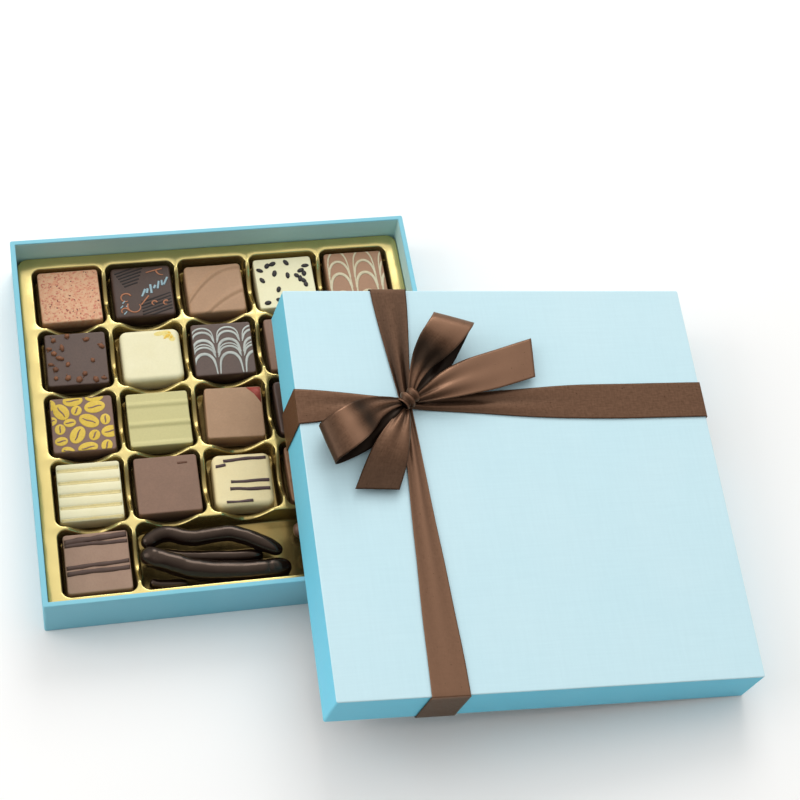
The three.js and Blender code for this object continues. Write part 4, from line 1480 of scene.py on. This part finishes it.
def yellow_blots():
    """A pale yellow wash near one corner, with stronger spots on it."""
    wash = topping_material("yellow_wash", paint(234, 216, 138), paint(232, 206, 110), 0.45)
    spot = topping_material("yellow_spot", paint(232, 192, 76), paint(226, 178, 56), 0.45)
    pale = lay_grains([(4.0, 9.4), (7.4, 8.4), (6.6, 9.9), (9.0, 6.6)],
                      [(4.6, 2.2, 0.1), (5.0, 3.2, 0.1), (4.4, 1.8, 0.12), (2.6, 2.8, 0.1)],
                      [0.1, -0.4, 0.0, 0.9], wash, 6, 3, 0.08)
    strong = lay_grains([(7.4, 8.2), (8.8, 7.4), (6.2, 7.2), (8.2, 9.6)],
                        [(2.6, 1.6, 0.22), (1.8, 1.3, 0.2), (1.3, 0.8, 0.16), (1.7, 0.9, 0.2)],
                        [0.4, 1.1, 0.2, -0.5], spot, 2, 3, 0.1)
    return [(pale, wash, -0.02), (strong, spot, -0.02)]


def praline_toppings(node, ground, width, depth):
    """The toppings and prints of one praline: (mesh, material, lift) for each."""
    kind = node[len("praline_11_"):]
    if kind in PLAIN_TOPPINGS:
        return [(*make(), lift) for make, lift in PLAIN_TOPPINGS[kind]]
    if kind == "rose_speckled":
        return rose_specks()
    if kind == "ivory_rounded":
        return yellow_blots()
    if kind.startswith("ivory_ridged"):
        return [(*painted_groove_shade(width, depth), 0.02)]
    if kind == "mauve_beans":
        return [(*bean_print(), 0.03), (bean_slits(ground), ground, 0.11)]
    if kind == "milk_red_corner":
        half = width / 2
        red = colour_patch("red_corner", paint(168, 74, 62), paint(150, 60, 52),
                           [(half, half), (half - 6.4, half), (half - 3.0, half - 3.4), (half, half - 8.4)])
        return [(*red, 0.0)]
    if kind == "dark_striped":
        return [(*striped_lines("stripe_black", paint(52, 36, 32), paint(40, 28, 26), width, 3), 0.05)]
    if kind == "milk_striped":
        return [(*striped_lines("stripe_brown", paint(84, 62, 53), paint(68, 50, 44), width, 11), 0.05)]
    return []


def praline_piece(node, kind, cut, turn, seed, finishes):
    """One praline with its toppings, in its node's place."""
    low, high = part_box(node)
    angle = math.radians(turn)
    spread = 1 + CUTS[cut][2]
    size_x, size_y = (high.x - low.x) / MM, (high.y - low.y) / MM
    width = (size_x - size_y * abs(math.sin(angle))) / spread
    depth = (size_y - size_x * abs(math.sin(angle))) / spread
    shape = praline_shape(width, depth, cut, seed)
    ground = ground_material(kind, finishes)
    materials = [ground]
    inset = CUTS[cut][1] * 0.7
    for mesh, material, lift in praline_toppings(node, ground, width, depth):
        on_top(mesh, cut, depth, width / 2 - inset, depth / 2 - inset, lift)
        if material not in materials:
            materials.append(material)
        shape.absorb(mesh, materials.index(material))
    middle = ((low + high) / 2) / MM
    place = Matrix.Translation((middle.x, middle.y, FOOD_UNDER)) @ Matrix.Rotation(angle, 4, "Z")
    piece = make_piece(f"dressed_{node[len('praline_'):]}", shape, materials, place)
    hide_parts(node)
    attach(piece, "root")


# How long a stick's round end is, in radii
PEEL_TAPER = 1.9

# Peel sticks: thickness and route
PEELS = {
    "peel_dark_back": (6.6, [(-41.5, -55.4, 8.6), (-38, -52, 9), (-32, -50.8, 9.4), (-24.4, -53.4, 9.6),
                             (-17, -53.4, 9.6), (-9, -53, 9.6), (-3, -55, 9.6), (3, -58.2, 9.6),
                             (11, -63.2, 9.6)]),
    "peel_dark_front": (8.6, [(-42.8, -58.2, 10.6), (-38, -61.6, 11.2), (-32, -64.2, 11.2),
                              (-24, -67.2, 10.4), (-14, -68.6, 8.8), (-3, -69.2, 8), (6, -69.2, 7.6),
                              (14, -68.4, 7.4)]),
    "peel_dark_middle": (5.2, [(-36, -57.4, 6.0), (-28, -59.4, 6.0), (-18, -60.6, 6.0), (-8, -61.4, 6.0),
                               (4, -61.8, 6.0)]),
    "peel_dark_short": (4.4, [(-41, -68.8, 5.6), (-36, -70.4, 5.6), (-26, -70.8, 5.6)]),
    "peel_milk_back": (6.6, [(17, -54, 7), (27, -52.4, 6.8), (40, -53.4, 6.8), (55, -52.6, 6.8),
                             (70, -54.4, 6.8)]),
    "peel_milk_front": (6.8, [(22, -67.4, 6.9), (34, -68.8, 6.9), (46, -68, 6.9), (58, -69, 6.9),
                              (71, -67.6, 6.9)]),
    "peel_milk_top": (6.2, [(19, -61.6, 11.4), (30, -60.2, 12.4), (42, -61.2, 12.4), (54, -60.4, 12.2),
                            (68, -61.8, 11.8)]),
}


def peel_shape(thickness, route, seed):
    """A bent stick with round ends and a lumpy coat."""
    shape = Shape()
    steps, sides = 90, 28
    radius = thickness / 2
    rings = []
    normal = Vector((0, 0, 1))
    length = sum((Vector(b) - Vector(a)).length for a, b in zip(route, route[1:]))
    cap = PEEL_TAPER * radius / length
    for i in range(steps + 1):
        share = 0.5 - 0.5 * math.cos(math.pi * i / steps)
        middle = Vector(spline(route, share))
        ahead = Vector(spline(route, min(1, share + 0.01))) - Vector(spline(route, max(0, share - 0.01)))
        forward = ahead.normalized()
        side = forward.cross(normal).normalized()
        up = side.cross(forward)
        near = min(share, 1 - share)
        round_end = math.sqrt(max(0.0, 1 - (1 - min(1.0, near / cap)) ** 2))
        ring = []
        for k in range(sides):
            angle = 2 * math.pi * k / sides
            c, s = math.cos(angle), math.sin(angle)
            lump = 1 + 0.06 * wobble(share * length, c * 3, s * 3, 5.0, seed)
            lump += 0.025 * wobble(share * length, c * 3, s * 3, 1.6, seed + 5)
            reach = radius * 0.985 * round_end * lump
            flatter = 0.94 if s < 0 else 1.0
            ring.append(middle + side * c * reach + up * s * reach * flatter)
        rings.append(ring)
    numbers = shape.loft(rings[1:-1])
    for ring, end in ((numbers[0], rings[0]), (numbers[-1], rings[-1])):
        centre = sum(end, Vector()) / len(end)
        tip = shape.add_points([centre])[0]
        shape.add_faces([(ring[i], ring[(i + 1) % sides], tip) for i in range(sides)])
    return shape


# Ribbon

def ribbon_piece(name, strip, materials, place, ribbon):
    """A strip of satin: rows of points across it, with UVs in metres and a painted shade for each point."""
    rows, shades, lengths = strip
    mesh = bpy.data.meshes.new(name)
    across = len(rows[0])
    points = [point for row in rows for point in row]
    faces, uvs = [], []
    for i in range(len(rows) - 1):
        for j in range(across - 1):
            corners = [(i, j), (i + 1, j), (i + 1, j + 1), (i, j + 1)]
            faces.append(tuple(a * across + b for a, b in corners))
            for a, b in corners:
                side = (b / (across - 1) - 0.5) * ribbon.width
                uvs.extend((lengths[a] * MM, side))
    mesh.from_pydata([tuple(point) for point in points], [], faces)
    layer = mesh.uv_layers.new(name="weave")
    layer.data.foreach_set("uv", uvs)
    shade = mesh.attributes.new("shade", "FLOAT", "POINT")
    shade.data.foreach_set("value", [value for row in shades for value in row])
    mesh.polygons.foreach_set("use_smooth", [True] * len(faces))
    mesh.transform(Matrix.Scale(MM, 4) @ place)
    for material in materials:
        mesh.materials.append(material)
    piece = add_object(name, mesh)
    solid = piece.modifiers.new("thickness", "SOLIDIFY")
    solid.thickness = ribbon.thickness
    solid.offset = 0
    # The strip's other face takes the last material, which on the bow is the near-black satin of painted
    # shade
    solid.material_offset = len(materials) - 1
    return piece


# Each band's node, knot along it, hump, widening before and after the knot, and painted shade before and
# after the knot and on the walls
BANDS = [
    ("ribbon_long", KNOT_Y, 0.0, (0.052, 0.12), (-0.6, 0.35, 0.7)),
    ("ribbon_cross", KNOT_X, 0.8, (0.14, 0.085), (-0.05, 0.0, 0.1)),
]

# How far a band goes up inside the lid, its bends' radius, and how far its hump reaches from the knot
TUCK = 5.6
BEND = 0.5
HUMP_REACH = 6.0


def wrap_path(lid_half, lid_height, board, knot, hump):
    """The band's route seen from the side, as (along, height) points up to two millimetres apart."""
    lift = RIBBON_LIFT
    outside = lid_half + lift
    inside = lid_half - board - lift
    top = lid_height + lift

    def fillet(corner, before, after):
        corner, before, after = Vector(corner), Vector(before), Vector(after)
        start = corner + (before - corner).normalized() * BEND
        finish = corner + (after - corner).normalized() * BEND
        return [start.lerp(corner, t).lerp(corner.lerp(finish, t), t) for t in (0, 0.25, 0.5, 0.75, 1)]

    def line(start, finish):
        start, finish = Vector(start), Vector(finish)
        count = max(1, round((finish - start).length / 2.0))
        return [start.lerp(finish, i / count) for i in range(1, count)]

    corners = [(-inside, TUCK), (-inside, -lift), (-outside, -lift), (-outside, top),
               (outside, top), (outside, -lift), (inside, -lift), (inside, TUCK)]
    path = [Vector(corners[0])]
    for number in range(1, len(corners) - 1):
        turn = fillet(corners[number], corners[number - 1], corners[number + 1])
        path += line(path[-1], turn[0]) + turn
    path += line(path[-1], corners[-1]) + [Vector(corners[-1])]
    for point in path:
        if point.y > lid_height:
            point.y += hump * math.exp(-((point.x - knot) / HUMP_REACH) ** 2)
    return path


def band_rows(path, knot, lid_height, ribbon, widen, painted_shades, seed):
    """Rows of points across a band, narrowed and pleated towards the knot."""
    across = 24
    half_width, gathered, pleat = ribbon.width / MM / 2, ribbon.gathered / MM, ribbon.pleat / MM
    # How softly the widening strip reaches its full width
    soft = 0.7
    rows, shades, lengths = [], [], []
    run = 0.0
    for number, point in enumerate(path):
        before, after = path[max(0, number - 1)], path[min(len(path) - 1, number + 1)]
        run += (point - before).length
        tangent = (after - before).normalized()
        normal = Vector((-tangent.y, tangent.x))
        away = point.x - knot
        half = half_width
        if point.y > lid_height - 0.01:
            opened = gathered + math.sqrt(away * away + 4) * (widen[0] if away < 0 else widen[1])
            half = -soft * math.log(math.exp(-half_width / soft) + math.exp(-opened / soft))
        tight = 1 - half / half_width
        # Painted light and shade: the band's tone changes across the knot and darkens on the lid's walls
        tone = painted_shades[0] + (painted_shades[1] - painted_shades[0]) * smooth_step(-8.0, 8.0, away)
        if point.y < lid_height - 0.6:
            tone = painted_shades[2]
        row, shade = [], []
        for j in range(across + 1):
            u = 2 * j / across - 1
            fold = math.cos(u * math.pi * 1.8 + seed) * 0.5 + 0.5
            lift = pleat * tight ** 1.2 * fold
            drift = 0.25 * wobble(run, 0, 0, 30.0, seed)
            row.append(Vector((point.x + normal.x * lift, half * u + drift, point.y + normal.y * lift)))
            # Painted shade in the pleats' valleys and a painted highlight on their crests, strongest near the
            # knot
            shade.append(tone + 1.0 * tight * (1 - fold) - 0.2 * tight * fold)
        rows.append(row)
        shades.append(shade)
        lengths.append(run)
    return rows, shades, lengths


def bow_rows(stations, steps, seed):
    """Rows across a bow strip, through its stations."""
    across = 20
    folds = 2.0
    full_half = 8.0
    rows, shades, lengths = [], [], []
    run = 0.0
    previous = None
    for i in range(steps + 1):
        share = i / steps
        along, side, height, half, tilt, crown, pleat, tone = spline(stations, share)
        middle = Vector((along, side, height))
        ahead = spline(stations, min(1, share + 0.008))
        behind = spline(stations, max(0, share - 0.008))
        tangent = (Vector(ahead[:3]) - Vector(behind[:3])).normalized()
        flat = Vector((0, 1, 0))
        flat = (flat - tangent * flat.dot(tangent)).normalized()
        flat = Matrix.Rotation(math.radians(tilt), 3, tangent) @ flat
        normal = tangent.cross(flat)
        if previous is not None:
            run += (middle - previous).length
        previous = middle
        tight = max(0.0, 1 - half / full_half)
        row, shade = [], []
        for j in range(across + 1):
            u = 2 * j / across - 1
            bulge = crown * (1 - u * u)
            crest = 0.5 + 0.5 * math.cos(u * math.pi * folds + seed)
            ripple = 0.12 * wobble(along, half * u, height, 7.0, seed)
            row.append(middle + flat * (half * u) + normal * (bulge + pleat * crest + ripple))
            # Painted shade in the fold valleys near the knot and a painted highlight on the crests, added to
            # the station's painted shade
            shade.append(tone + 0.7 * tight * (1 - crest) - 0.3 * tight * crest)
        rows.append(row)
        shades.append(shade)
        lengths.append(run)
    return rows, shades, lengths


# Bow strips as stations: along, side, height, half width, tilt, crown, pleat, painted shade
RIGHT_LOOP = [
    (3.6, 0.6, 5.6, 1.5, 20, 0.3, 0.3, 0.4), (9.5, 2.2, 6.4, 2.9, 20, 0.4, 0.7, -0.25),
    (17.0, 2.8, 7.6, 4.9, 16, 0.6, 0.8, 1.0), (23.6, 1.8, 10.4, 6.8, 8, 0.5, 0.4, 0.8),
    (29.4, 0.6, 13.0, 7.7, 2, 0.3, 0.1, -0.6), (35.0, 0.0, 13.4, 8.0, 0, 0.1, 0.0, -0.7),
    (39.2, 0.0, 11.2, 8.0, 0, 0.0, 0.0, 0.3), (40.2, 0.0, 8.2, 8.0, 0, 0.0, 0.0, 0.6),
    (37.8, 0.0, 5.2, 8.0, 0, 0.0, 0.0, 0.3), (31.5, -0.6, 3.0, 7.8, 0, 0.0, 0.1, 0.2),
    (25.0, -1.6, 2.6, 7.0, -2, -0.3, 0.2, 0.2), (18.0, -2.6, 3.6, 5.4, -6, -1.0, 0.5, 0.2),
    (10.5, -2.0, 4.6, 3.4, -8, -1.2, 0.6, 0.3), (3.6, -0.6, 4.2, 1.5, 0, -0.4, 0.3, 0.5),
]
LEFT_LOOP = [
    (3.6, -0.6, 5.4, 1.5, -16, 0.3, 0.3, 0.5), (9.0, -2.2, 6.2, 2.9, -18, 0.4, 0.7, 0.2),
    (15.5, -3.0, 7.4, 4.8, -16, 0.6, 0.8, 0.05), (22.5, -1.8, 10.4, 6.6, -8, 0.5, 0.4, 0.85),
    (29.0, -0.6, 12.6, 7.6, -2, 0.3, 0.1, -1.0), (35.0, 0.0, 12.9, 8.0, 0, 0.1, 0.0, 0.2),
    (39.4, 0.0, 10.8, 8.0, 0, 0.0, 0.0, 0.6), (40.6, 0.0, 7.8, 8.0, 0, 0.0, 0.0, 0.6),
    (38.2, 0.0, 4.8, 8.0, 0, 0.0, 0.0, 0.3), (30.5, 0.6, 2.8, 7.8, 0, 0.0, 0.1, 0.2),
    (23.0, 1.6, 2.6, 7.0, 2, -0.3, 0.2, 0.2), (16.5, 2.6, 3.6, 5.4, 6, -1.0, 0.5, 0.2),
    (10.0, 2.0, 4.6, 3.4, 8, -1.2, 0.6, 0.3), (3.6, 0.6, 4.0, 1.5, 0, -0.4, 0.3, 0.5),
]
RIGHT_TAIL = [
    (3.6, -0.4, 3.4, 1.6, 0, 0.3, 0.5, 0.4), (10.0, -0.4, 5.0, 3.6, 6, 0.4, 1.0, 0.1),
    (17.5, 0.0, 6.0, 5.6, 8, 0.4, 0.8, -0.6), (27.5, 0.2, 6.0, 7.1, 6, 0.3, 0.4, -0.9),
    (40.5, 0.0, 4.8, 7.8, 2, 0.2, 0.1, -0.85), (58.0, 0.0, 3.6, 8.0, 0, 0.1, 0.0, -0.7),
]
LEFT_TAIL = [
    (3.6, 0.4, 3.2, 1.6, 0, 0.3, 0.4, 0.4), (9.0, 0.4, 4.6, 3.4, -6, 0.4, 0.9, 0.1),
    (16.0, 0.2, 5.2, 5.4, -6, 0.4, 0.7, -0.3), (23.5, 0.0, 4.8, 7.0, -4, 0.3, 0.3, 0.1),
    (31.0, 0.0, 3.6, 7.8, -2, 0.2, 0.1, 0.5), (40.4, 0.0, 3.0, 8.0, 0, 0.1, 0.0, 0.6),
]


# Each bow strip's node, stations, direction on the lid in degrees, steps and sideways lean
BOW_STRIPS = [
    ("bow_loop_right", RIGHT_LOOP, 56, 96, -0.3),
    ("bow_loop_left", LEFT_LOOP, -151, 96, 0.24),
    ("bow_tail_right", RIGHT_TAIL, 18.5, 50, 0.42),
    ("bow_tail_left", LEFT_TAIL, -115, 44, -0.4),
]

# The knot: half its length, depth and height, how high it sits and how it is turned
KNOT_SIZE = (3.8, 3.0, 2.3)
KNOT_LIFT = 4.9
KNOT_TURN = 40


def knot_rows(length_half, depth, height):
    """Rows of a gathered strip wrapped once round the middle of the bow."""
    across, around = 26, 44
    folds = 2.4
    fold_height = 0.62
    rows, shades, lengths = [], [], []
    run = 0.0
    previous = None
    for i in range(around + 1):
        angle = 2 * math.pi * i / around
        swell = 1.0 + 0.06 * math.sin(angle + 0.6)
        row, shade = [], []
        for j in range(across + 1):
            u = 2 * j / across - 1
            pinch = 1 - 0.22 * u * u
            wave = math.cos(u * math.pi * folds + 0.9 * math.sin(angle) + 0.5)
            pleat = fold_height * wave * (1 - 0.3 * u * u)
            # Painted shade in the pleats' valleys and a painted highlight on their crests
            shade.append(0.15 - 0.45 * wave)
            reach_y = (depth * pinch + pleat) * swell
            reach_z = (height * pinch + pleat) * swell
            x = length_half * u * (1 + 0.12 * math.cos(angle - 0.8)) + 0.5 * math.sin(angle)
            row.append(Vector((x, reach_y * math.cos(angle), reach_z * math.sin(angle))))
        if previous is not None:
            run += (row[across // 2] - previous).length
        previous = row[across // 2]
        rows.append(row)
        shades.append(shade)
        lengths.append(run)
    return rows, shades, lengths


# Stage

def camera_matrix():
    """Where the camera stands and how it is turned."""
    azimuth, elevation, roll = CAMERA_AZIMUTH, CAMERA_ELEVATION, CAMERA_ROLL
    forward = Vector((math.sin(azimuth) * math.cos(elevation), math.cos(azimuth) * math.cos(elevation),
                      -math.sin(elevation)))
    level = Vector((math.cos(azimuth), -math.sin(azimuth), 0))
    upright = level.cross(forward)
    right = level * math.cos(roll) - upright * math.sin(roll)
    up = right.cross(forward)
    matrix = Matrix((right, up, -forward)).transposed().to_4x4()
    matrix.translation = CAMERA_PLACE
    return matrix


def make_camera():
    """The camera at the fitted viewing angle."""
    data = bpy.data.cameras.new("camera")
    data.lens = CAMERA_LENS
    data.sensor_width = CAMERA_SENSOR
    data.clip_start = 0.05
    data.clip_end = 20.0
    camera = add_object("camera", data)
    camera.matrix_world = camera_matrix()
    bpy.context.scene.camera = camera


def make_floor():
    """A plain pale floor."""
    material, shader = new_material("floor_paper")
    shader.inputs["Base Color"].default_value = (0.94, 0.94, 0.94, 1.0)
    shader.inputs["Roughness"].default_value = 0.9
    shader.inputs["Specular IOR Level"].default_value = 0.1
    mesh = square_mesh("floor", 3.0)
    mesh.materials.append(material)
    floor = add_object("floor", mesh)


def make_world():
    """A soft surround: bright above and behind, darker in front and low down."""
    world = bpy.data.worlds.new("studio")
    world.use_nodes = True
    bpy.context.scene.world = world
    tree = world.node_tree
    background = next(node for node in tree.nodes if node.type == "BACKGROUND")
    coordinates = tree.nodes.new("ShaderNodeTexCoord")
    parts = add_node(tree, "ShaderNodeSeparateXYZ", {"Vector": coordinates.outputs["Generated"]})
    height = remap(tree, parts.outputs["Z"], 0.0, 0.85, 0.3, 1.15)
    behind = remap(tree, parts.outputs["Y"], -0.7, 0.45, 0.3, 1.2)
    tree.links.new(calculate(tree, "MULTIPLY", height, behind), background.inputs["Strength"])
    background.inputs["Color"].default_value = (1.0, 0.99, 0.97, 1.0)


def make_light(name, place, target, size, power, colour=(1.0, 1.0, 1.0)):
    """A square softbox turned towards a target."""
    data = bpy.data.lights.new(name, "AREA")
    data.shape = "SQUARE"
    data.size = size
    data.energy = power
    data.color = colour
    light = add_object(name, data)
    light.location = place
    light.rotation_euler = (Vector(target) - Vector(place)).to_track_quat("-Z", "Y").to_euler()


# Operators

def lid_measures(sizes):
    """The lid's side, height and board in millimetres, and the matrix that leans it."""
    side, height, board = sizes.lid_side / MM, sizes.lid_height / MM, sizes.board / MM
    return side, height, board, lid_place(side, board)


class CHOCOLATES_OT_stage(bpy.types.Operator):
    """Make the camera, floor, surround and softboxes"""
    bl_idname = "chocolates.stage"
    bl_label = "Stage"

    def execute(self, context):
        make_camera()
        make_floor()
        make_world()
        make_light("key", (0.36, 1.15, 0.92), (0.03, -0.02, 0), 0.75, 8.0, (1.0, 0.98, 0.95))
        make_light("fill", (-1.0, 0.1, 0.7), (0.0, 0.0, 0), 0.8, 4.0)
        context.scene.view_settings.view_transform = "Standard"
        return {"FINISHED"}


class CHOCOLATES_OT_base(bpy.types.Operator):
    """Make the paper-covered base"""
    bl_idname = "chocolates.base"
    bl_label = "Base"

    def execute(self, context):
        sizes, finishes = context.scene.box_sizes, context.scene.box_finishes
        board = sizes.board / MM
        shape = board_shape(BASE_SIDE, board, BASE_HEIGHT, board, sizes.corner / MM, sizes.edge / MM)
        # The base's walls, rim and floor wear the paper with painted shade, its inner walls the paper with
        # the gold's glow painted in
        papers = [paper_material("paper_base_wall_shaded", finishes.paper_shaded),
                  paper_material("paper_base_rim", finishes.paper_shaded),
                  paper_material("paper_inside", finishes.paper_inside)]
        piece = make_piece("base_papered", shape, papers, merge=0.001)
        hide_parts("base_box")
        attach(piece, "root")
        return {"FINISHED"}


class CHOCOLATES_OT_tray(bpy.types.Operator):
    """Make the gold tray with its cells"""
    bl_idname = "chocolates.tray"
    bl_label = "Tray"

    def execute(self, context):
        gold = gold_material(context.scene.box_finishes.gold)
        piece = make_piece("gold_tray_formed", tray_shape(), [gold], merge=0.02)
        close_tray(piece)
        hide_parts("tray")
        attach(piece, "root")
        return {"FINISHED"}


class CHOCOLATES_OT_pralines(bpy.types.Operator):
    """Make the twenty-one pralines with their toppings"""
    bl_idname = "chocolates.pralines"
    bl_label = "Pralines"

    def execute(self, context):
        for seed, (node, kind, cut, turn) in enumerate(PRALINES):
            praline_piece(node, kind, cut, turn, seed * 1.7, context.scene.box_finishes)
        return {"FINISHED"}


class CHOCOLATES_OT_peels(bpy.types.Operator):
    """Make the coated peel sticks"""
    bl_idname = "chocolates.peels"
    bl_label = "Peel sticks"

    def execute(self, context):
        finishes = context.scene.box_finishes
        for seed, (node, (thickness, route)) in enumerate(PEELS.items()):
            dark = "dark" in node
            # Both coats darken towards the tray with the skin's painted shade at their foot
            if dark:
                coat = chocolate_material("peel_coat", finishes.peel, paint(28, 18, 14), 0.3, 0.1, 0.16, 0.24,
                                          shine=0.56, tint=(1.0, 0.74, 0.58, 1.0))
            else:
                coat = chocolate_material("peel_milk_coat", finishes.milk, paint(150, 114, 94),
                                          0.3, 0.1, 0.3, 0.4)
            piece = make_piece(f"coated_{node}", peel_shape(thickness, route, seed + 0.5), [coat])
            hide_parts(node)
            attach(piece, "root")
        return {"FINISHED"}


class CHOCOLATES_OT_lid(bpy.types.Operator):
    """Make the paper-covered lid where it leans"""
    bl_idname = "chocolates.lid"
    bl_label = "Lid"

    def execute(self, context):
        sizes, finishes = context.scene.box_sizes, context.scene.box_finishes
        side, height, board, place = lid_measures(sizes)
        shape = board_shape(side, board, height, board, sizes.corner / MM, sizes.edge / MM)
        upside_down = Matrix.Translation((0, 0, height)) @ Matrix.Rotation(math.pi, 4, "X")
        turn = tuple(-angle for angle in place.to_euler())
        # The lid's outer and inner walls wear paper with painted shade; only its top and rim wear the plain
        # paper
        papers = [paper_material("paper_lid_wall_shaded", finishes.paper_lid, turn),
                  paper_material("paper_lid", finishes.paper, turn),
                  paper_material("paper_lid_inside", finishes.paper_shaded, turn)]
        piece = make_piece("lid_papered", shape, papers, place @ upside_down, merge=0.001)
        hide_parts("lid")
        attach(piece, "root")
        return {"FINISHED"}


def dress_ribbon(piece, node):
    """Hides the node that the strip stands for and hangs the strip on the root body."""
    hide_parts(node)
    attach(piece, "root")


class CHOCOLATES_OT_ribbon(bpy.types.Operator):
    """Make the two bands of ribbon round the lid"""
    bl_idname = "chocolates.ribbon"
    bl_label = "Ribbon bands"

    def execute(self, context):
        ribbon = context.scene.ribbon_sizes
        satin = [satin_material("satin", context.scene.box_finishes.satin, 0.5, 0.5)]
        side, height, board, lean = lid_measures(context.scene.box_sizes)
        quarter_turn = Matrix.Rotation(math.pi / 2, 4, "Z")
        places = [Matrix.Translation((KNOT_X, 0, 0)) @ quarter_turn, Matrix.Translation((0, KNOT_Y, 0))]
        for seed, (node, knot, hump, widen, painted_shades) in enumerate(BANDS):
            place = places[seed]
            path = wrap_path(side / 2, height, board, knot, hump)
            strip = band_rows(path, knot, height, ribbon, widen, painted_shades, seed * 1.9)
            piece = ribbon_piece(f"satin_{node}", strip, satin, lean @ place, ribbon)
            dress_ribbon(piece, node)
        return {"FINISHED"}


class CHOCOLATES_OT_bow(bpy.types.Operator):
    """Make the bow's loops, tails and knot"""
    bl_idname = "chocolates.bow"
    bl_label = "Bow"

    def execute(self, context):
        ribbon, finishes = context.scene.ribbon_sizes, context.scene.box_finishes
        # The bow's other face wears the near-black satin of painted shade
        satin = [satin_material("satin", finishes.satin, 0.5, 0.5),
                 satin_material("satin_painted_shade", finishes.satin_painted_shade, 0.1, 0.0)]
        _, height, _, lean = lid_measures(context.scene.box_sizes)
        for seed, (node, stations, direction, steps, skew) in enumerate(BOW_STRIPS):
            strip = bow_rows(stations, steps, seed * 0.8)
            reach = max(station[0] for station in stations)
            for row in strip[0]:
                for point in row:
                    point.x += point.y * skew * smooth_step(reach * 0.4, reach, point.x)
            place = lean @ Matrix.Translation((KNOT_X, KNOT_Y, height))
            place = place @ Matrix.Rotation(math.radians(direction), 4, "Z")
            piece = ribbon_piece(f"satin_{node}", strip, satin, place, ribbon)
            dress_ribbon(piece, node)
        place = lean @ Matrix.Translation((KNOT_X, KNOT_Y, height + KNOT_LIFT))
        place = place @ Matrix.Rotation(math.radians(KNOT_TURN), 4, "Z")
        strip = knot_rows(*KNOT_SIZE)
        knot = ribbon_piece("satin_bow_knot", strip, satin, place, ribbon)
        dress_ribbon(knot, "bow_knot")
        return {"FINISHED"}


OPERATORS = [CHOCOLATES_OT_stage, CHOCOLATES_OT_base, CHOCOLATES_OT_tray, CHOCOLATES_OT_pralines,
             CHOCOLATES_OT_peels, CHOCOLATES_OT_lid, CHOCOLATES_OT_ribbon, CHOCOLATES_OT_bow]


class CHOCOLATES_PT_panel(bpy.types.Panel):
    """Lists the operators and the sizes they read"""
    bl_idname = "CHOCOLATES_PT_panel"
    bl_label = "Box of chocolates"
    bl_space_type = "VIEW_3D"
    bl_region_type = "UI"
    bl_category = "Chocolates"

    def draw(self, context):
        for group in (context.scene.box_sizes, context.scene.ribbon_sizes, context.scene.box_finishes):
            for name in group.__annotations__:
                self.layout.prop(group, name)
        for operator in OPERATORS:
            self.layout.operator(operator.bl_idname)


CLASSES = [BoxSizes, RibbonSizes, Finishes, *OPERATORS, CHOCOLATES_PT_panel]


def register():
    """Registers the classes and hangs the property groups on the scene."""
    for item in CLASSES:
        bpy.utils.register_class(item)
    bpy.types.Scene.box_sizes = bpy.props.PointerProperty(type=BoxSizes)
    bpy.types.Scene.ribbon_sizes = bpy.props.PointerProperty(type=RibbonSizes)
    bpy.types.Scene.box_finishes = bpy.props.PointerProperty(type=Finishes)


def unregister():
    """Takes the property groups and the classes away again."""
    del bpy.types.Scene.box_finishes
    del bpy.types.Scene.ribbon_sizes
    del bpy.types.Scene.box_sizes
    for item in reversed(CLASSES):
        bpy.utils.unregister_class(item)


def main():
    """Makes every piece in order."""
    register()
    bpy.ops.chocolates.stage()
    bpy.ops.chocolates.base()
    bpy.ops.chocolates.tray()
    bpy.ops.chocolates.pralines()
    bpy.ops.chocolates.peels()
    bpy.ops.chocolates.lid()
    bpy.ops.chocolates.ribbon()
    bpy.ops.chocolates.bow()


if __name__ == "__main__":
    main()
